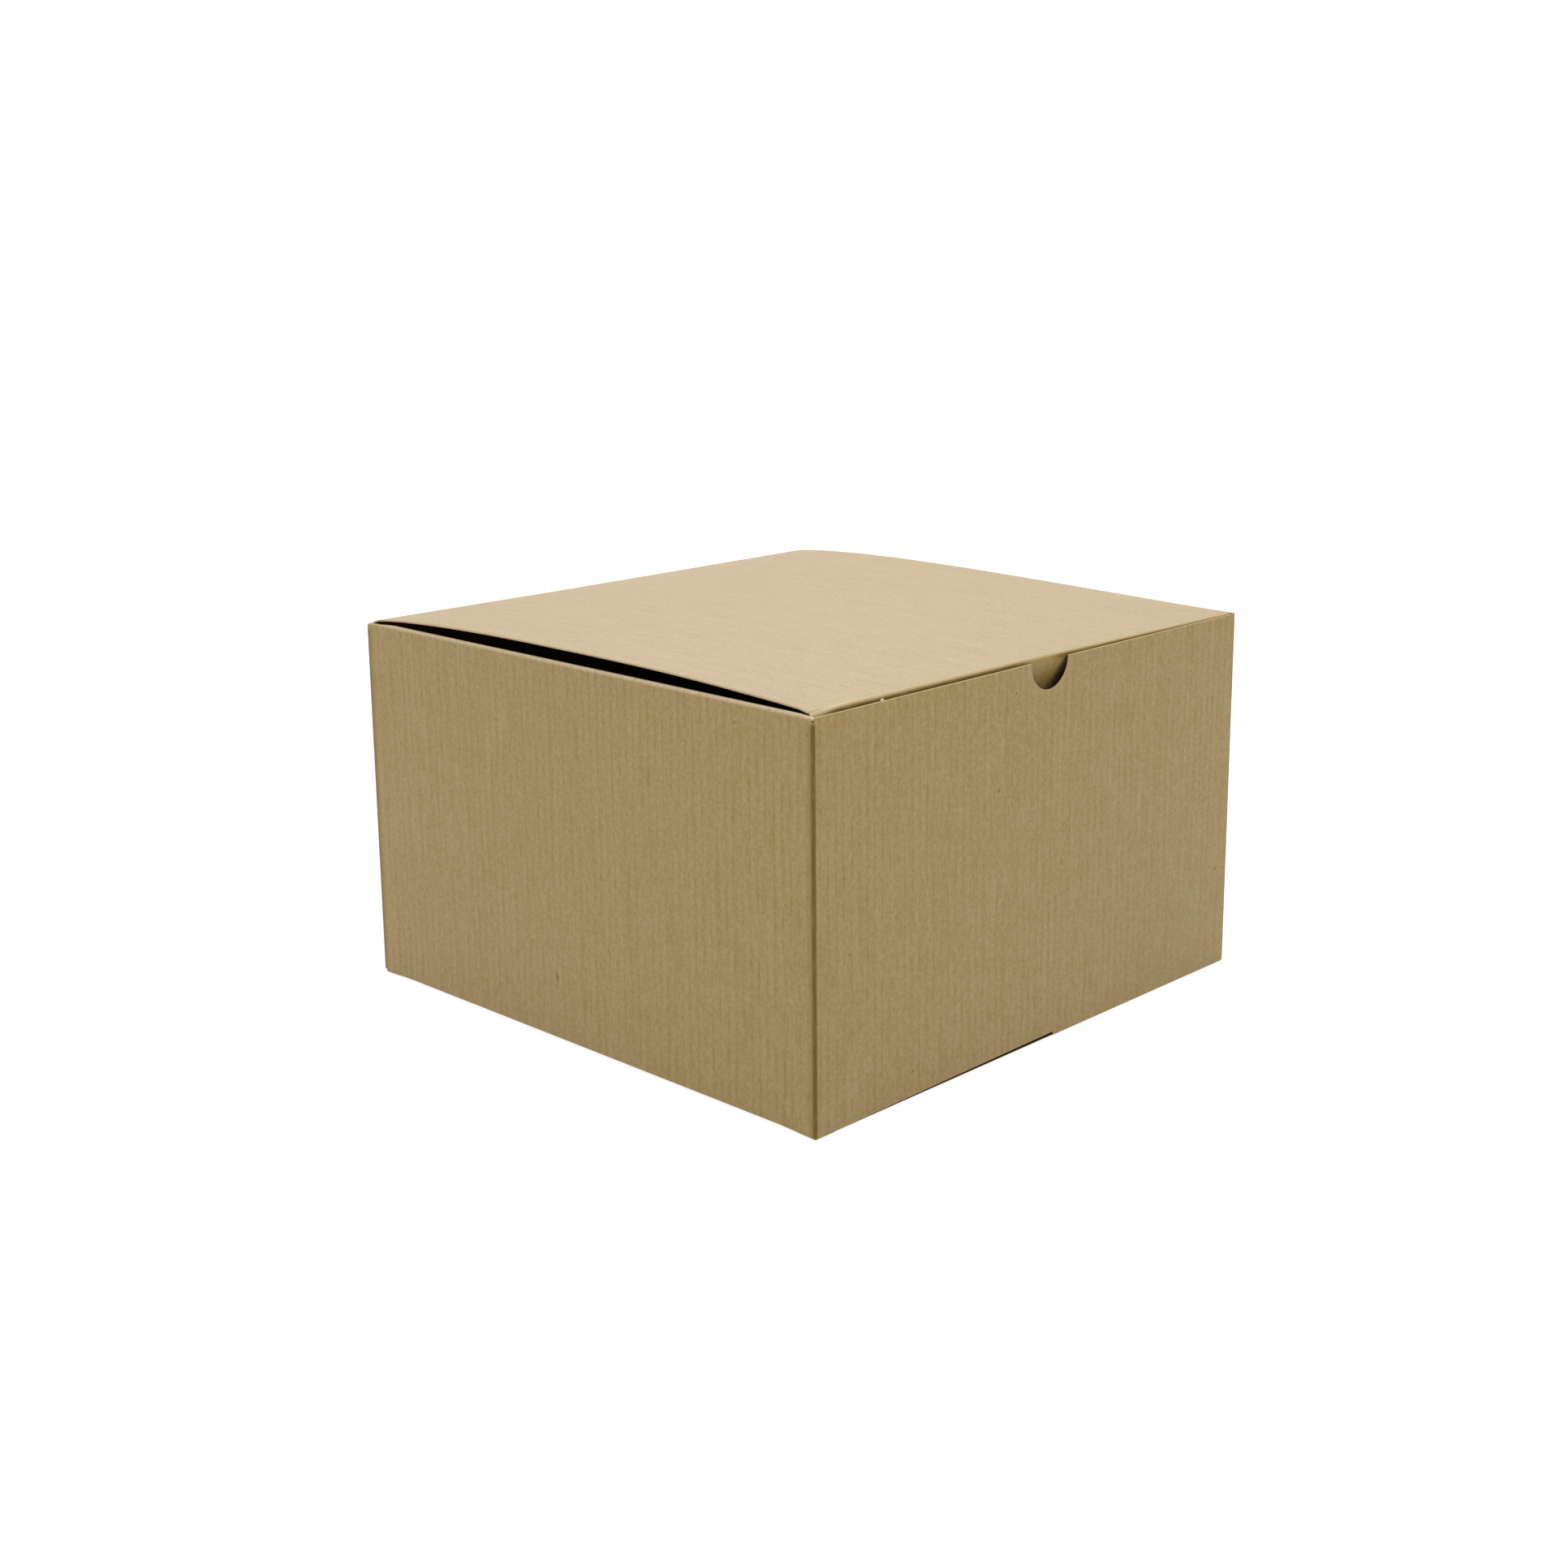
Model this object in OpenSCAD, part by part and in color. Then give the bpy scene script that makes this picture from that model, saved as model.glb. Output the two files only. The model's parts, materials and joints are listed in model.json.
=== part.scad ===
// Kraft gift box: one folded and glued carton with a hinged tuck lid
// The front wall faces -Y, the left wall -X, and the box stands on z = 0
// The origin is at the middle of the foot

/* [Box] */
// Width of the box across the front wall
box_w = 254; // [210:1:320]
// Depth of the box from the front wall to the back wall
box_d = 254; // [210:1:320]
// Height of the front wall's cut top edge above the table
box_h = 152; // [100:1:200]
// Thickness of the board
board_t = 0.6; // [0.4:0.05:0.7]
// Thickness of a dried glue film
glue_t = 0.1; // [0.08:0.01:0.2]

/* [Folds] */
// Inside radius of the set folds between walls and at the foot of each wall
fold_inner_r = 0.4; // [0.2:0.05:0.8]
// Radius of the pressed bead along a fold that moves
bead_r = 0.5; // [0.35:0.05:0.55]
// Gap between a bead and the panel beside it
bead_gap = 0.12; // [0.1:0.01:0.2]
// Extra room behind the lid's bead, so that the lid can lie back past level
lid_back_gap = 0.18; // [0.15:0.01:0.3]
// Length left open at each end of a fold, where the board is cut at the corner
fold_end_gap = 1; // [0.5:0.1:2]

/* [Thumb notch] */
// Radius of the half-round thumb notch in the front wall
notch_r = 11.5; // [9:0.5:16]
// How far the notch lies to the right of the middle of the front wall
notch_shift = 2; // [-10:0.5:10]

/* [Lid] */
// Distance from the outside of a side wall to the lid's side edge
lid_side_inset = 1.2; // [1.1:0.1:3]
// Distance from the outside of the front wall to the lid's front fold
lid_front_inset = 1.5; // [1.4:0.1:3]
// How far the lid bows up between its two folds
lid_bow = 5.2; // [3:0.1:8]
// Height of the lid's front fold above its back fold
lid_front_lift = 1.8; // [1.6:0.1:3]
// Length of the tuck flap from its fold to its tip
tuck_len = 32; // [24:1:36]
// Lean of the closed tuck flap into the box, in degrees
tuck_lean = 8; // [7:0.5:10]
// Narrowing of the tuck flap along each side, in degrees
tuck_taper = 5; // [3:0.5:10]
// Radius of the tuck flap's two free corners
tuck_corner_r = 14; // [8:1:18]
// Distance from the lid's side edge to the end of the tuck fold
tuck_shoulder = 2.5; // [2:0.1:5]

/* [Dust flaps] */
// Length of a dust flap from its fold to its tip
dust_len = 92; // [60:1:96]
// Droop of the closed dust flaps below level, in degrees
dust_droop = 22; // [18:0.5:26]
// Height of a dust flap's fold above the front wall's edge
dust_rise = 0.6; // [0:0.05:0.65]
// Distance from the lid's back fold to the back end of a dust fold
dust_back_gap = 14; // [12:1:24]
// Gap between a dust flap's front edge and the tip of the tuck flap
dust_tuck_gap = 2; // [1:0.5:6]
// Slope of a dust flap's back edge, in degrees
dust_back_taper = 17; // [16:1:24]
// Slope of a dust flap's front edge, in degrees
dust_front_taper = 3; // [1:0.5:8]
// Radius of a dust flap's two free corners
dust_corner_r = 16; // [8:1:22]

/* [Glued seam] */
// Width of the tab glued inside the left wall
seam_tab_w = 16; // [12:1:24]
// Slope of the tab's two ends, in degrees
seam_taper = 12; // [5:1:20]
// Distance from the tab's ends to the ends of the back wall
seam_end_gap = 2.5; // [2:0.5:6]
// Bare margin round each film of glue
glue_margin = 3; // [2:0.5:5]

/* [Bottom] */
// Length along a wall of the glued tab at the foot's front left and back right corners
tab_len = 56; // [40:1:60]
// How far a side flap reaches past the glued tab
side_flap_past_tab = 6; // [3:0.5:12]
// Width of the diagonal fold beside the glued tab
diagonal_fold_w = 1.2; // [1:0.1:2]
// How far a bottom tongue reaches past the middle of the foot
tongue_reach = 18; // [12:1:26]
// Gap between a tongue and the side flap beside it
tongue_side_gap = 1; // [0.8:0.1:3]
// Length of the step where a tongue climbs onto the other flap
tongue_step = 6; // [4:0.5:10]
// Clearance between two bottom flaps that cross
lap_gap = 0.05; // [0.03:0.01:0.1]
// Half of the slit in the middle, where the two bottom flaps lock
lock_half_gap = 0.5; // [0.4:0.1:1]
// Distance from the box's corner to the side of a bottom flap
flap_corner_gap = 3; // [2:0.5:6]
// How far a bottom flap's free side is cut back at the middle of the foot
free_side_cut = 57; // [30:1:60]

/* [Hidden] */
half_w = box_w / 2;
half_d = box_d / 2;
fold_r = fold_inner_r + board_t;
bead_reach = bead_r + bead_gap;

// Heights of the foot's layers: main flaps lowest, then glue, then side flaps
side_flap_z = board_t + glue_t;
tongue_z = board_t + lap_gap;
side_wall_z = side_flap_z + fold_r;

// Axes of the moving folds
lid_axis_y = half_d - bead_r;
lid_axis_z = box_h - bead_r;
tuck_axis_y = lid_front_inset - half_d;
tuck_axis_z = lid_axis_z + lid_front_lift;
dust_axis_x = half_w - bead_r;
dust_axis_z = box_h + dust_rise;

// Lid: its bow is a sine whose peak lies nearer the back
lid_half_w = half_w - lid_side_inset;
lid_start_y = lid_axis_y - bead_reach - lid_back_gap;
lid_end_y = tuck_axis_y + bead_reach;
lid_skew_share = 0.72;
lid_steps = 32;
half_turn = 180;

// Tuck flap and dust flaps
tuck_half_w = lid_half_w - tuck_shoulder;
tuck_tip_y = tuck_axis_y + tuck_len * sin(tuck_lean) + board_t;
dust_front_y = tuck_tip_y + dust_tuck_gap;
dust_back_y = lid_axis_y - dust_back_gap;
corner_steps = 10;

// Seam at the back left corner: the tab lies inside the left wall
seam_tab_x = board_t + glue_t - half_w;
seam_fold_x = seam_tab_x + fold_r;
seam_bottom_z = side_wall_z + seam_end_gap;
back_wall_top_z = lid_axis_z - bead_reach;
side_wall_top_z = dust_axis_z - bead_reach;

// Foot: side flaps, glued tabs and the two main flaps that lock in the middle
side_flap_reach = tab_len + side_flap_past_tab;
foot_x = half_w - fold_r;
foot_y = half_d - fold_r;
tongue_x = foot_x - side_flap_reach - tongue_side_gap;

overrun = 1;
fold_fn = 48;
notch_fn = 96;

kraft = [0.78, 0.69, 0.52];
kraft_inside = [0.74, 0.63, 0.45];
kraft_fold = [0.55, 0.46, 0.27];
glue_colour = [0.93, 0.90, 0.80];

// Points of a round corner about a centre, from one angle to another
function round_corner(x, y, r, from, to) =
    [for (i = [0:corner_steps]) let (a = from + (to - from) * i / corner_steps) [x + r * cos(a), y + r * sin(a)]];

// Height of the middle of the lid's board at a share of the way from back to front
function lid_height(share) =
    lid_axis_z + lid_front_lift * share + lid_bow * sin(half_turn * pow(share, lid_skew_share));

function lid_y(share) = lid_start_y + (lid_end_y - lid_start_y) * share;

// Flat board between two corners
module slab(low, high) {
    translate(low) cube(high - low);
}

// Quarter-round set fold of a given length, from +X round to +Y
module set_fold(length) {
    rotate_extrude(angle = 90, $fn = fold_fn)
        translate([fold_inner_r, 0])
            square([board_t, length]);
}

// Set fold along the foot of the front wall, with its bend at a given height above the table
module foot_fold(length, lift) {
    translate([-length / 2, 0, lift + fold_r])
        rotate([0, 90, 0])
            rotate([0, 0, -90])
                set_fold(length);
}

// Round bead along X, centred
module bead(length) {
    translate([-length / 2, 0, 0])
        rotate([0, 90, 0])
            cylinder(r = bead_r, h = length, $fn = fold_fn);
}

module front_wall() {
    color(kraft) difference() {
        slab([-foot_x, -half_d, fold_r], [foot_x, board_t - half_d, box_h]);
        translate([notch_shift, board_t - half_d + overrun, box_h])
            rotate([90, 0, 0])
                cylinder(r = notch_r, h = board_t + 2 * overrun, $fn = notch_fn);
    }
}

// The left wall's back end is the cut edge of the seam, flush with the back wall
module left_wall() {
    color(kraft) slab([-half_w, -foot_y, side_wall_z], [board_t - half_w, half_d, side_wall_top_z]);
}

module right_wall() {
    color(kraft) slab([half_w - board_t, -foot_y, side_wall_z], [half_w, foot_y, side_wall_top_z]);
}

module back_wall() {
    color(kraft) slab([seam_fold_x, half_d - board_t, fold_r], [foot_x, half_d, back_wall_top_z]);
}

// Upright set fold at a corner, turned to the quarter that it fills
module upright_fold(x, y, turn) {
    translate([x, y, side_wall_z])
        rotate([0, 0, turn])
            set_fold(back_wall_top_z - fold_end_gap - side_wall_z);
}

module front_left_crease() {
    color(kraft_fold) upright_fold(-foot_x, -foot_y, 180);
}

module front_right_crease() {
    color(kraft_fold) upright_fold(foot_x, -foot_y, -90);
}

module back_right_crease() {
    color(kraft_fold) upright_fold(foot_x, foot_y, 0);
}

module seam_crease() {
    color(kraft_fold) upright_fold(seam_fold_x, foot_y, 90);
}

// Outline of the seam's tab in Y and Z, drawn in by a margin on all sides but the fold
module seam_outline(margin) {
    slope = (seam_tab_w - margin) * tan(seam_taper);
    low = seam_bottom_z + margin;
    high = back_wall_top_z - seam_end_gap - margin;
    polygon([
        [foot_y - margin, low],
        [foot_y - margin, high],
        [foot_y - seam_tab_w + margin, high - slope],
        [foot_y - seam_tab_w + margin, low + slope]
    ]);
}

module seam_tab() {
    color(kraft_inside)
        translate([seam_tab_x, 0, 0]) rotate([90, 0, 90]) linear_extrude(board_t) seam_outline(0);
}

module seam_glue() {
    color(glue_colour)
        translate([seam_tab_x - glue_t, 0, 0]) rotate([90, 0, 90]) linear_extrude(glue_t) seam_outline(glue_margin);
}

module lid_crease() {
    color(kraft_fold) translate([0, lid_axis_y, lid_axis_z]) bead(2 * (lid_half_w - fold_end_gap));
}

// The lid is one sheet, bowed from its back fold to its front fold
module lid_panel() {
    shares = [for (i = [0:lid_steps]) i / lid_steps];
    top = [for (s = shares) [lid_y(s), lid_height(s) + board_t / 2]];
    under = [for (s = shares) [lid_y(1 - s), lid_height(1 - s) - board_t / 2]];
    color(kraft)
        translate([-lid_half_w, 0, 0]) rotate([90, 0, 90]) linear_extrude(2 * lid_half_w) polygon(concat(top, under));
}

module tuck_crease() {
    color(kraft_fold) translate([0, tuck_axis_y, tuck_axis_z]) bead(2 * (tuck_half_w - fold_end_gap));
}

// Outline of the tuck flap, hanging down from its fold at the origin
module tuck_outline() {
    corner_y = tuck_corner_r - tuck_len;
    corner_x = tuck_half_w + corner_y * tan(tuck_taper) - tuck_corner_r / cos(tuck_taper);
    root_x = tuck_half_w - bead_reach * tan(tuck_taper);
    polygon(concat(
        [[-root_x, -bead_reach], [root_x, -bead_reach]],
        round_corner(corner_x, corner_y, tuck_corner_r, -tuck_taper, -90),
        round_corner(-corner_x, corner_y, tuck_corner_r, -90, tuck_taper - half_turn)
    ));
}

module tuck_flap() {
    color(kraft)
        translate([0, tuck_axis_y, tuck_axis_z])
            rotate([90 + tuck_lean, 0, 0])
                translate([0, 0, -board_t / 2])
                    linear_extrude(board_t) tuck_outline();
}

// Outline of the left dust flap, reaching from its fold at x = 0 into the box
module dust_outline() {
    tip = dust_len - dust_corner_r;
    front_y = dust_front_y + tip * tan(dust_front_taper) + dust_corner_r / cos(dust_front_taper);
    back_y = dust_back_y - tip * tan(dust_back_taper) - dust_corner_r / cos(dust_back_taper);
    polygon(concat(
        [
            [bead_reach, dust_back_y - bead_reach * tan(dust_back_taper)],
            [bead_reach, dust_front_y + bead_reach * tan(dust_front_taper)]
        ],
        round_corner(tip, front_y, dust_corner_r, dust_front_taper - 90, 0),
        round_corner(tip, back_y, dust_corner_r, 0, 90 - dust_back_taper)
    ));
}

module dust_flap() {
    translate([-dust_axis_x, 0, dust_axis_z])
        rotate([0, dust_droop, 0])
            translate([0, 0, -board_t / 2])
                linear_extrude(board_t) dust_outline();
}

module dust_crease() {
    translate([-dust_axis_x, (dust_front_y + dust_back_y) / 2, dust_axis_z])
        rotate([0, 0, 90])
            bead(dust_back_y - dust_front_y);
}

module left_dust_crease() {
    color(kraft_fold) dust_crease();
}

module right_dust_crease() {
    color(kraft_fold) mirror([1, 0, 0]) dust_crease();
}

module left_dust_flap() {
    color(kraft_inside) dust_flap();
}

module right_dust_flap() {
    color(kraft_inside) mirror([1, 0, 0]) dust_flap();
}

module front_bottom_crease() {
    color(kraft_fold) translate([0, -foot_y, 0]) foot_fold(2 * (foot_x - fold_end_gap), 0);
}

module back_bottom_crease() {
    color(kraft_fold) rotate([0, 0, half_turn]) translate([0, -foot_y, 0]) foot_fold(2 * (foot_x - fold_end_gap), 0);
}

module left_bottom_crease() {
    color(kraft_fold)
        rotate([0, 0, -90]) translate([0, -foot_x, 0]) foot_fold(2 * (foot_y - flap_corner_gap), side_flap_z);
}

module right_bottom_crease() {
    color(kraft_fold)
        rotate([0, 0, 90]) translate([0, -foot_x, 0]) foot_fold(2 * (foot_y - flap_corner_gap), side_flap_z);
}

// Main bottom flap of the front wall: its right half stops at the middle,
// and its left half climbs onto the back flap as a tongue that locks the foot
module main_flap() {
    tab_x = tab_len - foot_x;
    tab_y = tab_len - foot_y;
    diagonal = diagonal_fold_w / 2 * sqrt(2);
    step_start_y = -tongue_step - lock_half_gap;
    linear_extrude(board_t) polygon([
        [flap_corner_gap + diagonal - foot_x, flap_corner_gap - foot_y],
        [flap_corner_gap + diagonal - foot_x, -foot_y],
        [foot_x - flap_corner_gap, -foot_y],
        [foot_x - free_side_cut, -lock_half_gap],
        [lock_half_gap, -lock_half_gap],
        [-lock_half_gap, step_start_y],
        [-tongue_x, step_start_y],
        [tab_x + diagonal, tab_y]
    ]);
    translate([-tongue_x, 0, 0]) rotate([90, 0, 90]) linear_extrude(tongue_x - lock_half_gap) polygon([
        [step_start_y, 0],
        [-lock_half_gap, tongue_z],
        [tongue_reach, tongue_z],
        [tongue_reach, tongue_z + board_t],
        [-lock_half_gap, tongue_z + board_t],
        [step_start_y, board_t]
    ]);
}

module front_bottom_flap() {
    color(kraft_inside) main_flap();
}

module back_bottom_flap() {
    color(kraft_inside) rotate([0, 0, half_turn]) main_flap();
}

// Diagonal fold between the main flap and its glued tab, at 45 degrees from the corner
module diagonal_fold() {
    diagonal = diagonal_fold_w / 2 * sqrt(2);
    linear_extrude(board_t) polygon([
        [flap_corner_gap + diagonal - foot_x, flap_corner_gap - foot_y],
        [tab_len + diagonal - foot_x, tab_len - foot_y],
        [tab_len - diagonal - foot_x, tab_len - foot_y],
        [flap_corner_gap - diagonal - foot_x, flap_corner_gap - foot_y]
    ]);
}

module front_diagonal_crease() {
    color(kraft_fold) diagonal_fold();
}

module back_diagonal_crease() {
    color(kraft_fold) rotate([0, 0, half_turn]) diagonal_fold();
}

// Outline of the glued tab between the diagonal fold and the side wall
module tab_outline() {
    diagonal = diagonal_fold_w / 2 * sqrt(2);
    polygon([
        [flap_corner_gap - diagonal - foot_x, flap_corner_gap - foot_y],
        [tab_len - diagonal - foot_x, tab_len - foot_y],
        [flap_corner_gap - diagonal - foot_x, tab_len - foot_y]
    ]);
}

// The film of glue is the tab's outline drawn in by its margin
module tab_glue_outline() {
    diagonal = diagonal_fold_w / 2 * sqrt(2);
    edge = flap_corner_gap - diagonal - foot_x + glue_margin;
    top = tab_len - foot_y - glue_margin;
    slant = diagonal + glue_margin * sqrt(2);
    polygon([
        [edge, edge + slant + foot_x - foot_y],
        [top - slant + foot_y - foot_x, top],
        [edge, top]
    ]);
}

module front_glue_tab() {
    color(kraft_inside) linear_extrude(board_t) tab_outline();
}

module back_glue_tab() {
    color(kraft_inside) rotate([0, 0, half_turn]) linear_extrude(board_t) tab_outline();
}

module front_tab_glue() {
    color(glue_colour) translate([0, 0, board_t]) linear_extrude(glue_t) tab_glue_outline();
}

module back_tab_glue() {
    color(glue_colour) rotate([0, 0, half_turn]) translate([0, 0, board_t]) linear_extrude(glue_t) tab_glue_outline();
}

// Side flap, folded in before the main flaps and lying on top of them
module side_flap() {
    narrow = side_flap_reach * tan(seam_taper);
    translate([0, 0, side_flap_z]) linear_extrude(board_t) polygon([
        [-foot_x, flap_corner_gap - foot_y],
        [side_flap_reach - foot_x, flap_corner_gap + narrow - foot_y],
        [side_flap_reach - foot_x, foot_y - flap_corner_gap - narrow],
        [-foot_x, foot_y - flap_corner_gap]
    ]);
}

module left_bottom_flap() {
    color(kraft_inside) side_flap();
}

module right_bottom_flap() {
    color(kraft_inside) rotate([0, 0, half_turn]) side_flap();
}

front_wall();
left_wall();
back_wall();
right_wall();
front_left_crease();
front_right_crease();
back_right_crease();
seam_crease();
seam_tab();
seam_glue();
lid_crease();
lid_panel();
tuck_crease();
tuck_flap();
left_dust_crease();
left_dust_flap();
right_dust_crease();
right_dust_flap();
front_bottom_crease();
back_bottom_crease();
left_bottom_crease();
right_bottom_crease();
front_bottom_flap();
back_bottom_flap();
left_bottom_flap();
right_bottom_flap();
front_diagonal_crease();
back_diagonal_crease();
front_glue_tab();
back_glue_tab();
front_tab_glue();
back_tab_glue();
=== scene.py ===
"""Kraft gift box. Laid out as an add-on and run as a script: each operator models one group of pieces."""

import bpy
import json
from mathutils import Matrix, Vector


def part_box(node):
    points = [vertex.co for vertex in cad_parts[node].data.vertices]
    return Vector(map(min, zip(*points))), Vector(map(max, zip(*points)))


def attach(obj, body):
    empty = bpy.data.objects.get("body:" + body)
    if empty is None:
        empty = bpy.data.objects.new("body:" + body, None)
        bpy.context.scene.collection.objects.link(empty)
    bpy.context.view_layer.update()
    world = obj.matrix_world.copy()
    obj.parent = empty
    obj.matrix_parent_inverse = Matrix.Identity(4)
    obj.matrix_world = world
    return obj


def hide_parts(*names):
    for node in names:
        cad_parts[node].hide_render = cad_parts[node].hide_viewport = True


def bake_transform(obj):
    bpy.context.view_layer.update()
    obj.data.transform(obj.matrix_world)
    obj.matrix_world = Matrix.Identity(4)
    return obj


bl_info = {
    "name": "Kraft Gift Box",
    "version": (1, 0, 0),
    "blender": (4, 5, 0),
    "location": "3D View > Sidebar > Gift Box",
    "description": "Models the board, the folds and the finish of a kraft gift box, and its studio",
    "category": "Add Mesh",
}

import json
import math

import bmesh
import bpy
from bpy.props import FloatProperty, FloatVectorProperty, PointerProperty
from mathutils import Matrix, Quaternion, Vector

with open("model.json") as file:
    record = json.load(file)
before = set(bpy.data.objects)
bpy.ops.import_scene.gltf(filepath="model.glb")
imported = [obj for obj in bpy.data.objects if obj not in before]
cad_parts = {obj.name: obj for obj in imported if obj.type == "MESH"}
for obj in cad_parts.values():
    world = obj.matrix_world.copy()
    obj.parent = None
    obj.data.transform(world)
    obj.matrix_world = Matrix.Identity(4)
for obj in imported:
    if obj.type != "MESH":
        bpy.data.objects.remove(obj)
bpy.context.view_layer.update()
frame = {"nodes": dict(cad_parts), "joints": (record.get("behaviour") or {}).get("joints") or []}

MM = 0.001
QUARTER = math.pi / 2
X = Vector((1, 0, 0))
Y = Vector((0, 1, 0))
Z = Vector((0, 0, 1))

JOINT_PLACE = {joint["name"]: Vector(joint["pos_m"]) for joint in frame["joints"]}
LID_AXIS = JOINT_PLACE["lid_hinge"]
TUCK_AXIS = JOINT_PLACE["tuck_hinge"]
DUST_AXIS = JOINT_PLACE["right_dust_hinge"]
FRONT_LOW, FRONT_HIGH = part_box("front_wall")
LID_LOW, LID_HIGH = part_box("lid_panel")
TUCK_LOW, TUCK_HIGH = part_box("tuck_flap")
DUST_LOW, DUST_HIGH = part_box("right_dust_flap")
BOARD = FRONT_HIGH.y - FRONT_LOW.y
WALL_MIDDLE = -FRONT_LOW.y - BOARD / 2
FOLD_LOW, FOLD_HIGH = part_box("front_left_crease")
FOLD_R = FOLD_HIGH.x - FOLD_LOW.x

# Wear of the upright folds: it fades out above RUB_TOP and at the foot, and reaches over the walls
RUB_TOP = 148.8 * MM
RUB_FADE = 1.6 * MM
RUB_FOOT = 5 * MM
RUB_FULL = 0.8 * MM
RUB_REACH = {"X": 1.8 * MM, "Y": 3.2 * MM}
RUB_SHARE = 0.65
SPECK_SHARE = 0.95

# Painted shade on the tuck's fold: dark up to BAND_BACK, lighter over the notch where light gets behind the
# wall, and a painted highlight at the near tip
BAND_FRONT = TUCK_AXIS.y - 0.1 * MM
BAND_BACK = TUCK_AXIS.y + 0.6 * MM
BAND_TOP = TUCK_AXIS.z + 0.2 * MM
BAND_FADE = 0.7 * MM
NOTCH_REACH = 21 * MM
TIP_REACH = 26 * MM
TIP_RISE = TUCK_AXIS.z - FRONT_HIGH.z + 0.6 * MM

# Painted highlight on the side walls' folds: it grows paler between two heights
RIDGE_LOW = 150.8 * MM
RIDGE_HIGH = 152.4 * MM

# Front wall's foot: where its board starts over the slit, and how near a cut may lie to a point
SLIT_LIP = 2.8 * MM
SLIT_SNAP = 0.001 * MM

# Grains of the board: size across the lines and along them, or the same all round
FIBRE_GRAIN = (1.7 * MM, 8 * MM)
LONG_GRAIN = (2.6 * MM, 45 * MM)
INK_GRAIN = (3 * MM, 7 * MM)
FLECK_GRAIN = (0.7 * MM, 2.4 * MM)
STREAK_GRAIN = (1.2 * MM, 7 * MM)
FINE_GRAIN = 1.4 * MM
PATCH_GRAIN = 6 * MM
CLOUD_GRAIN = 13 * MM
GLUE_GRAIN = 4 * MM
FUZZ_GRAIN = (1.4 * MM, 1.4 * MM, 0.3 * MM)
SLIT_SHADOW_GRAIN = (4 * MM, 0.6 * MM, 0.6 * MM)

# Marks made from a noise of 0 to 1: where the mark starts and is full, and what these become
INK_MARKS = (0.35, 0.6, 0.1, 1.0)
WARM_MARKS = (0.35, 0.65)
FLECK_MARKS = (0.64, 0.72, 0.0, 0.35)
FUZZ_MARKS = (0.3, 0.7, 0.0, 0.35)
STREAK_MARKS = (0.4, 0.8, 0.0, 0.25)
RIDGE_MARKS = (0.2, 0.6, 0.6, 1.0)
SLIT_SHADOW_MARKS = (0.5, 0.85, 0.0, 0.25)
GLUE_MARKS = (0.4, 0.65)
PRINT_ROUGHNESS = (0.3, 0.7, 0.38, 0.46)
GLUE_ROUGHNESS = (0.3, 0.7, 0.25, 0.5)

# Plain side's brightness: how far it follows the board's tone, and what it is where the tone is 0
PLAIN_TONE = (0.6, 0.7)

# Dull finishes: how much they mirror
FOLD_MIRROR = 0.2
SLIT_MIRROR = 0.05

# Depth of the relief of each finish
PRINT_RELIEF = 0.02 * MM
PLAIN_RELIEF = 0.05 * MM
CUT_RELIEF = 0.02 * MM
RUB_RELIEF = 0.04 * MM
RIDGE_RELIEF = 0.03 * MM
SLIT_SHADOW_RELIEF = 0.08 * MM
GLUE_RELIEF = 0.08 * MM

# How near a point counts as touching, as on a rim and as at a corner
TOUCH = 0.01 * MM
RIM_NEAR = 0.1 * MM
CORNER_NEAR = 0.5 * MM

# A panel's side longer than this is a long one, and a cutter of this depth goes through the board
LONG_SIDE = 10 * MM
CUTTER_DEPTH = 10 * MM

# Fineness of the meshes
FOLD_SIDES = 48
NOTCH_SIDES = 96
CORNER_STEPS = 10
FOLD_SLICE = 6 * MM
BEND_SLICE = 3 * MM
TUCK_SLICE = 4 * MM
DUST_SLICE = 8 * MM
DOME_RINGS = 5
DOME_TIP = 0.05

# Lid's flatter right side: above 1 it keeps to the right edge
RIGHT_DROP_POWER = 1.5

# Torn chip: its corners, as shares of the nick's width and height from its middle
CHIP_CORNERS = ((-0.5, 0.2), (0.15, 0.5), (0.5, -0.5))

# Small marks on the board: wall axis, place along it, height, half width and half height, in millimetres
SPECKS = (
    ("X", -18.2, 142.3, 0.55, 0.55),
    ("X", -27.9, 106.9, 0.6, 0.65),
    ("X", -109.2, 64.2, 0.55, 0.7),
    ("X", -75.3, 10.6, 0.5, 0.65),
    ("X", 118.5, 43.4, 0.55, 0.9),
    ("Y", 11.7, 26.2, 0.6, 2.0),
    ("Y", -89.2, 144.7, 0.6, 0.6),
)
SPECK_RIM = (1.3, 0.4)
SPECK_SLANT = -0.45


def srgb(red, green, blue):
    """Gives the linear colour of three 0 to 255 values as the eye sees them."""
    shares = [value / 255 for value in (red, green, blue)]
    return [s / 12.92 if s <= 0.04045 else ((s + 0.055) / 1.055) ** 2.4 for s in shares]


def length(name, description, default):
    return FloatProperty(name=name, description=description, default=default, unit="LENGTH")


def number(name, description, default, subtype="NONE"):
    return FloatProperty(name=name, description=description, default=default, subtype=subtype)


def angle(name, description, degrees):
    return FloatProperty(name=name, description=description, default=math.radians(degrees), subtype="ANGLE")


def colour(name, description, red, green, blue):
    return FloatVectorProperty(
        name=name, description=description, default=srgb(red, green, blue), subtype="COLOR", size=3
    )


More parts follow.
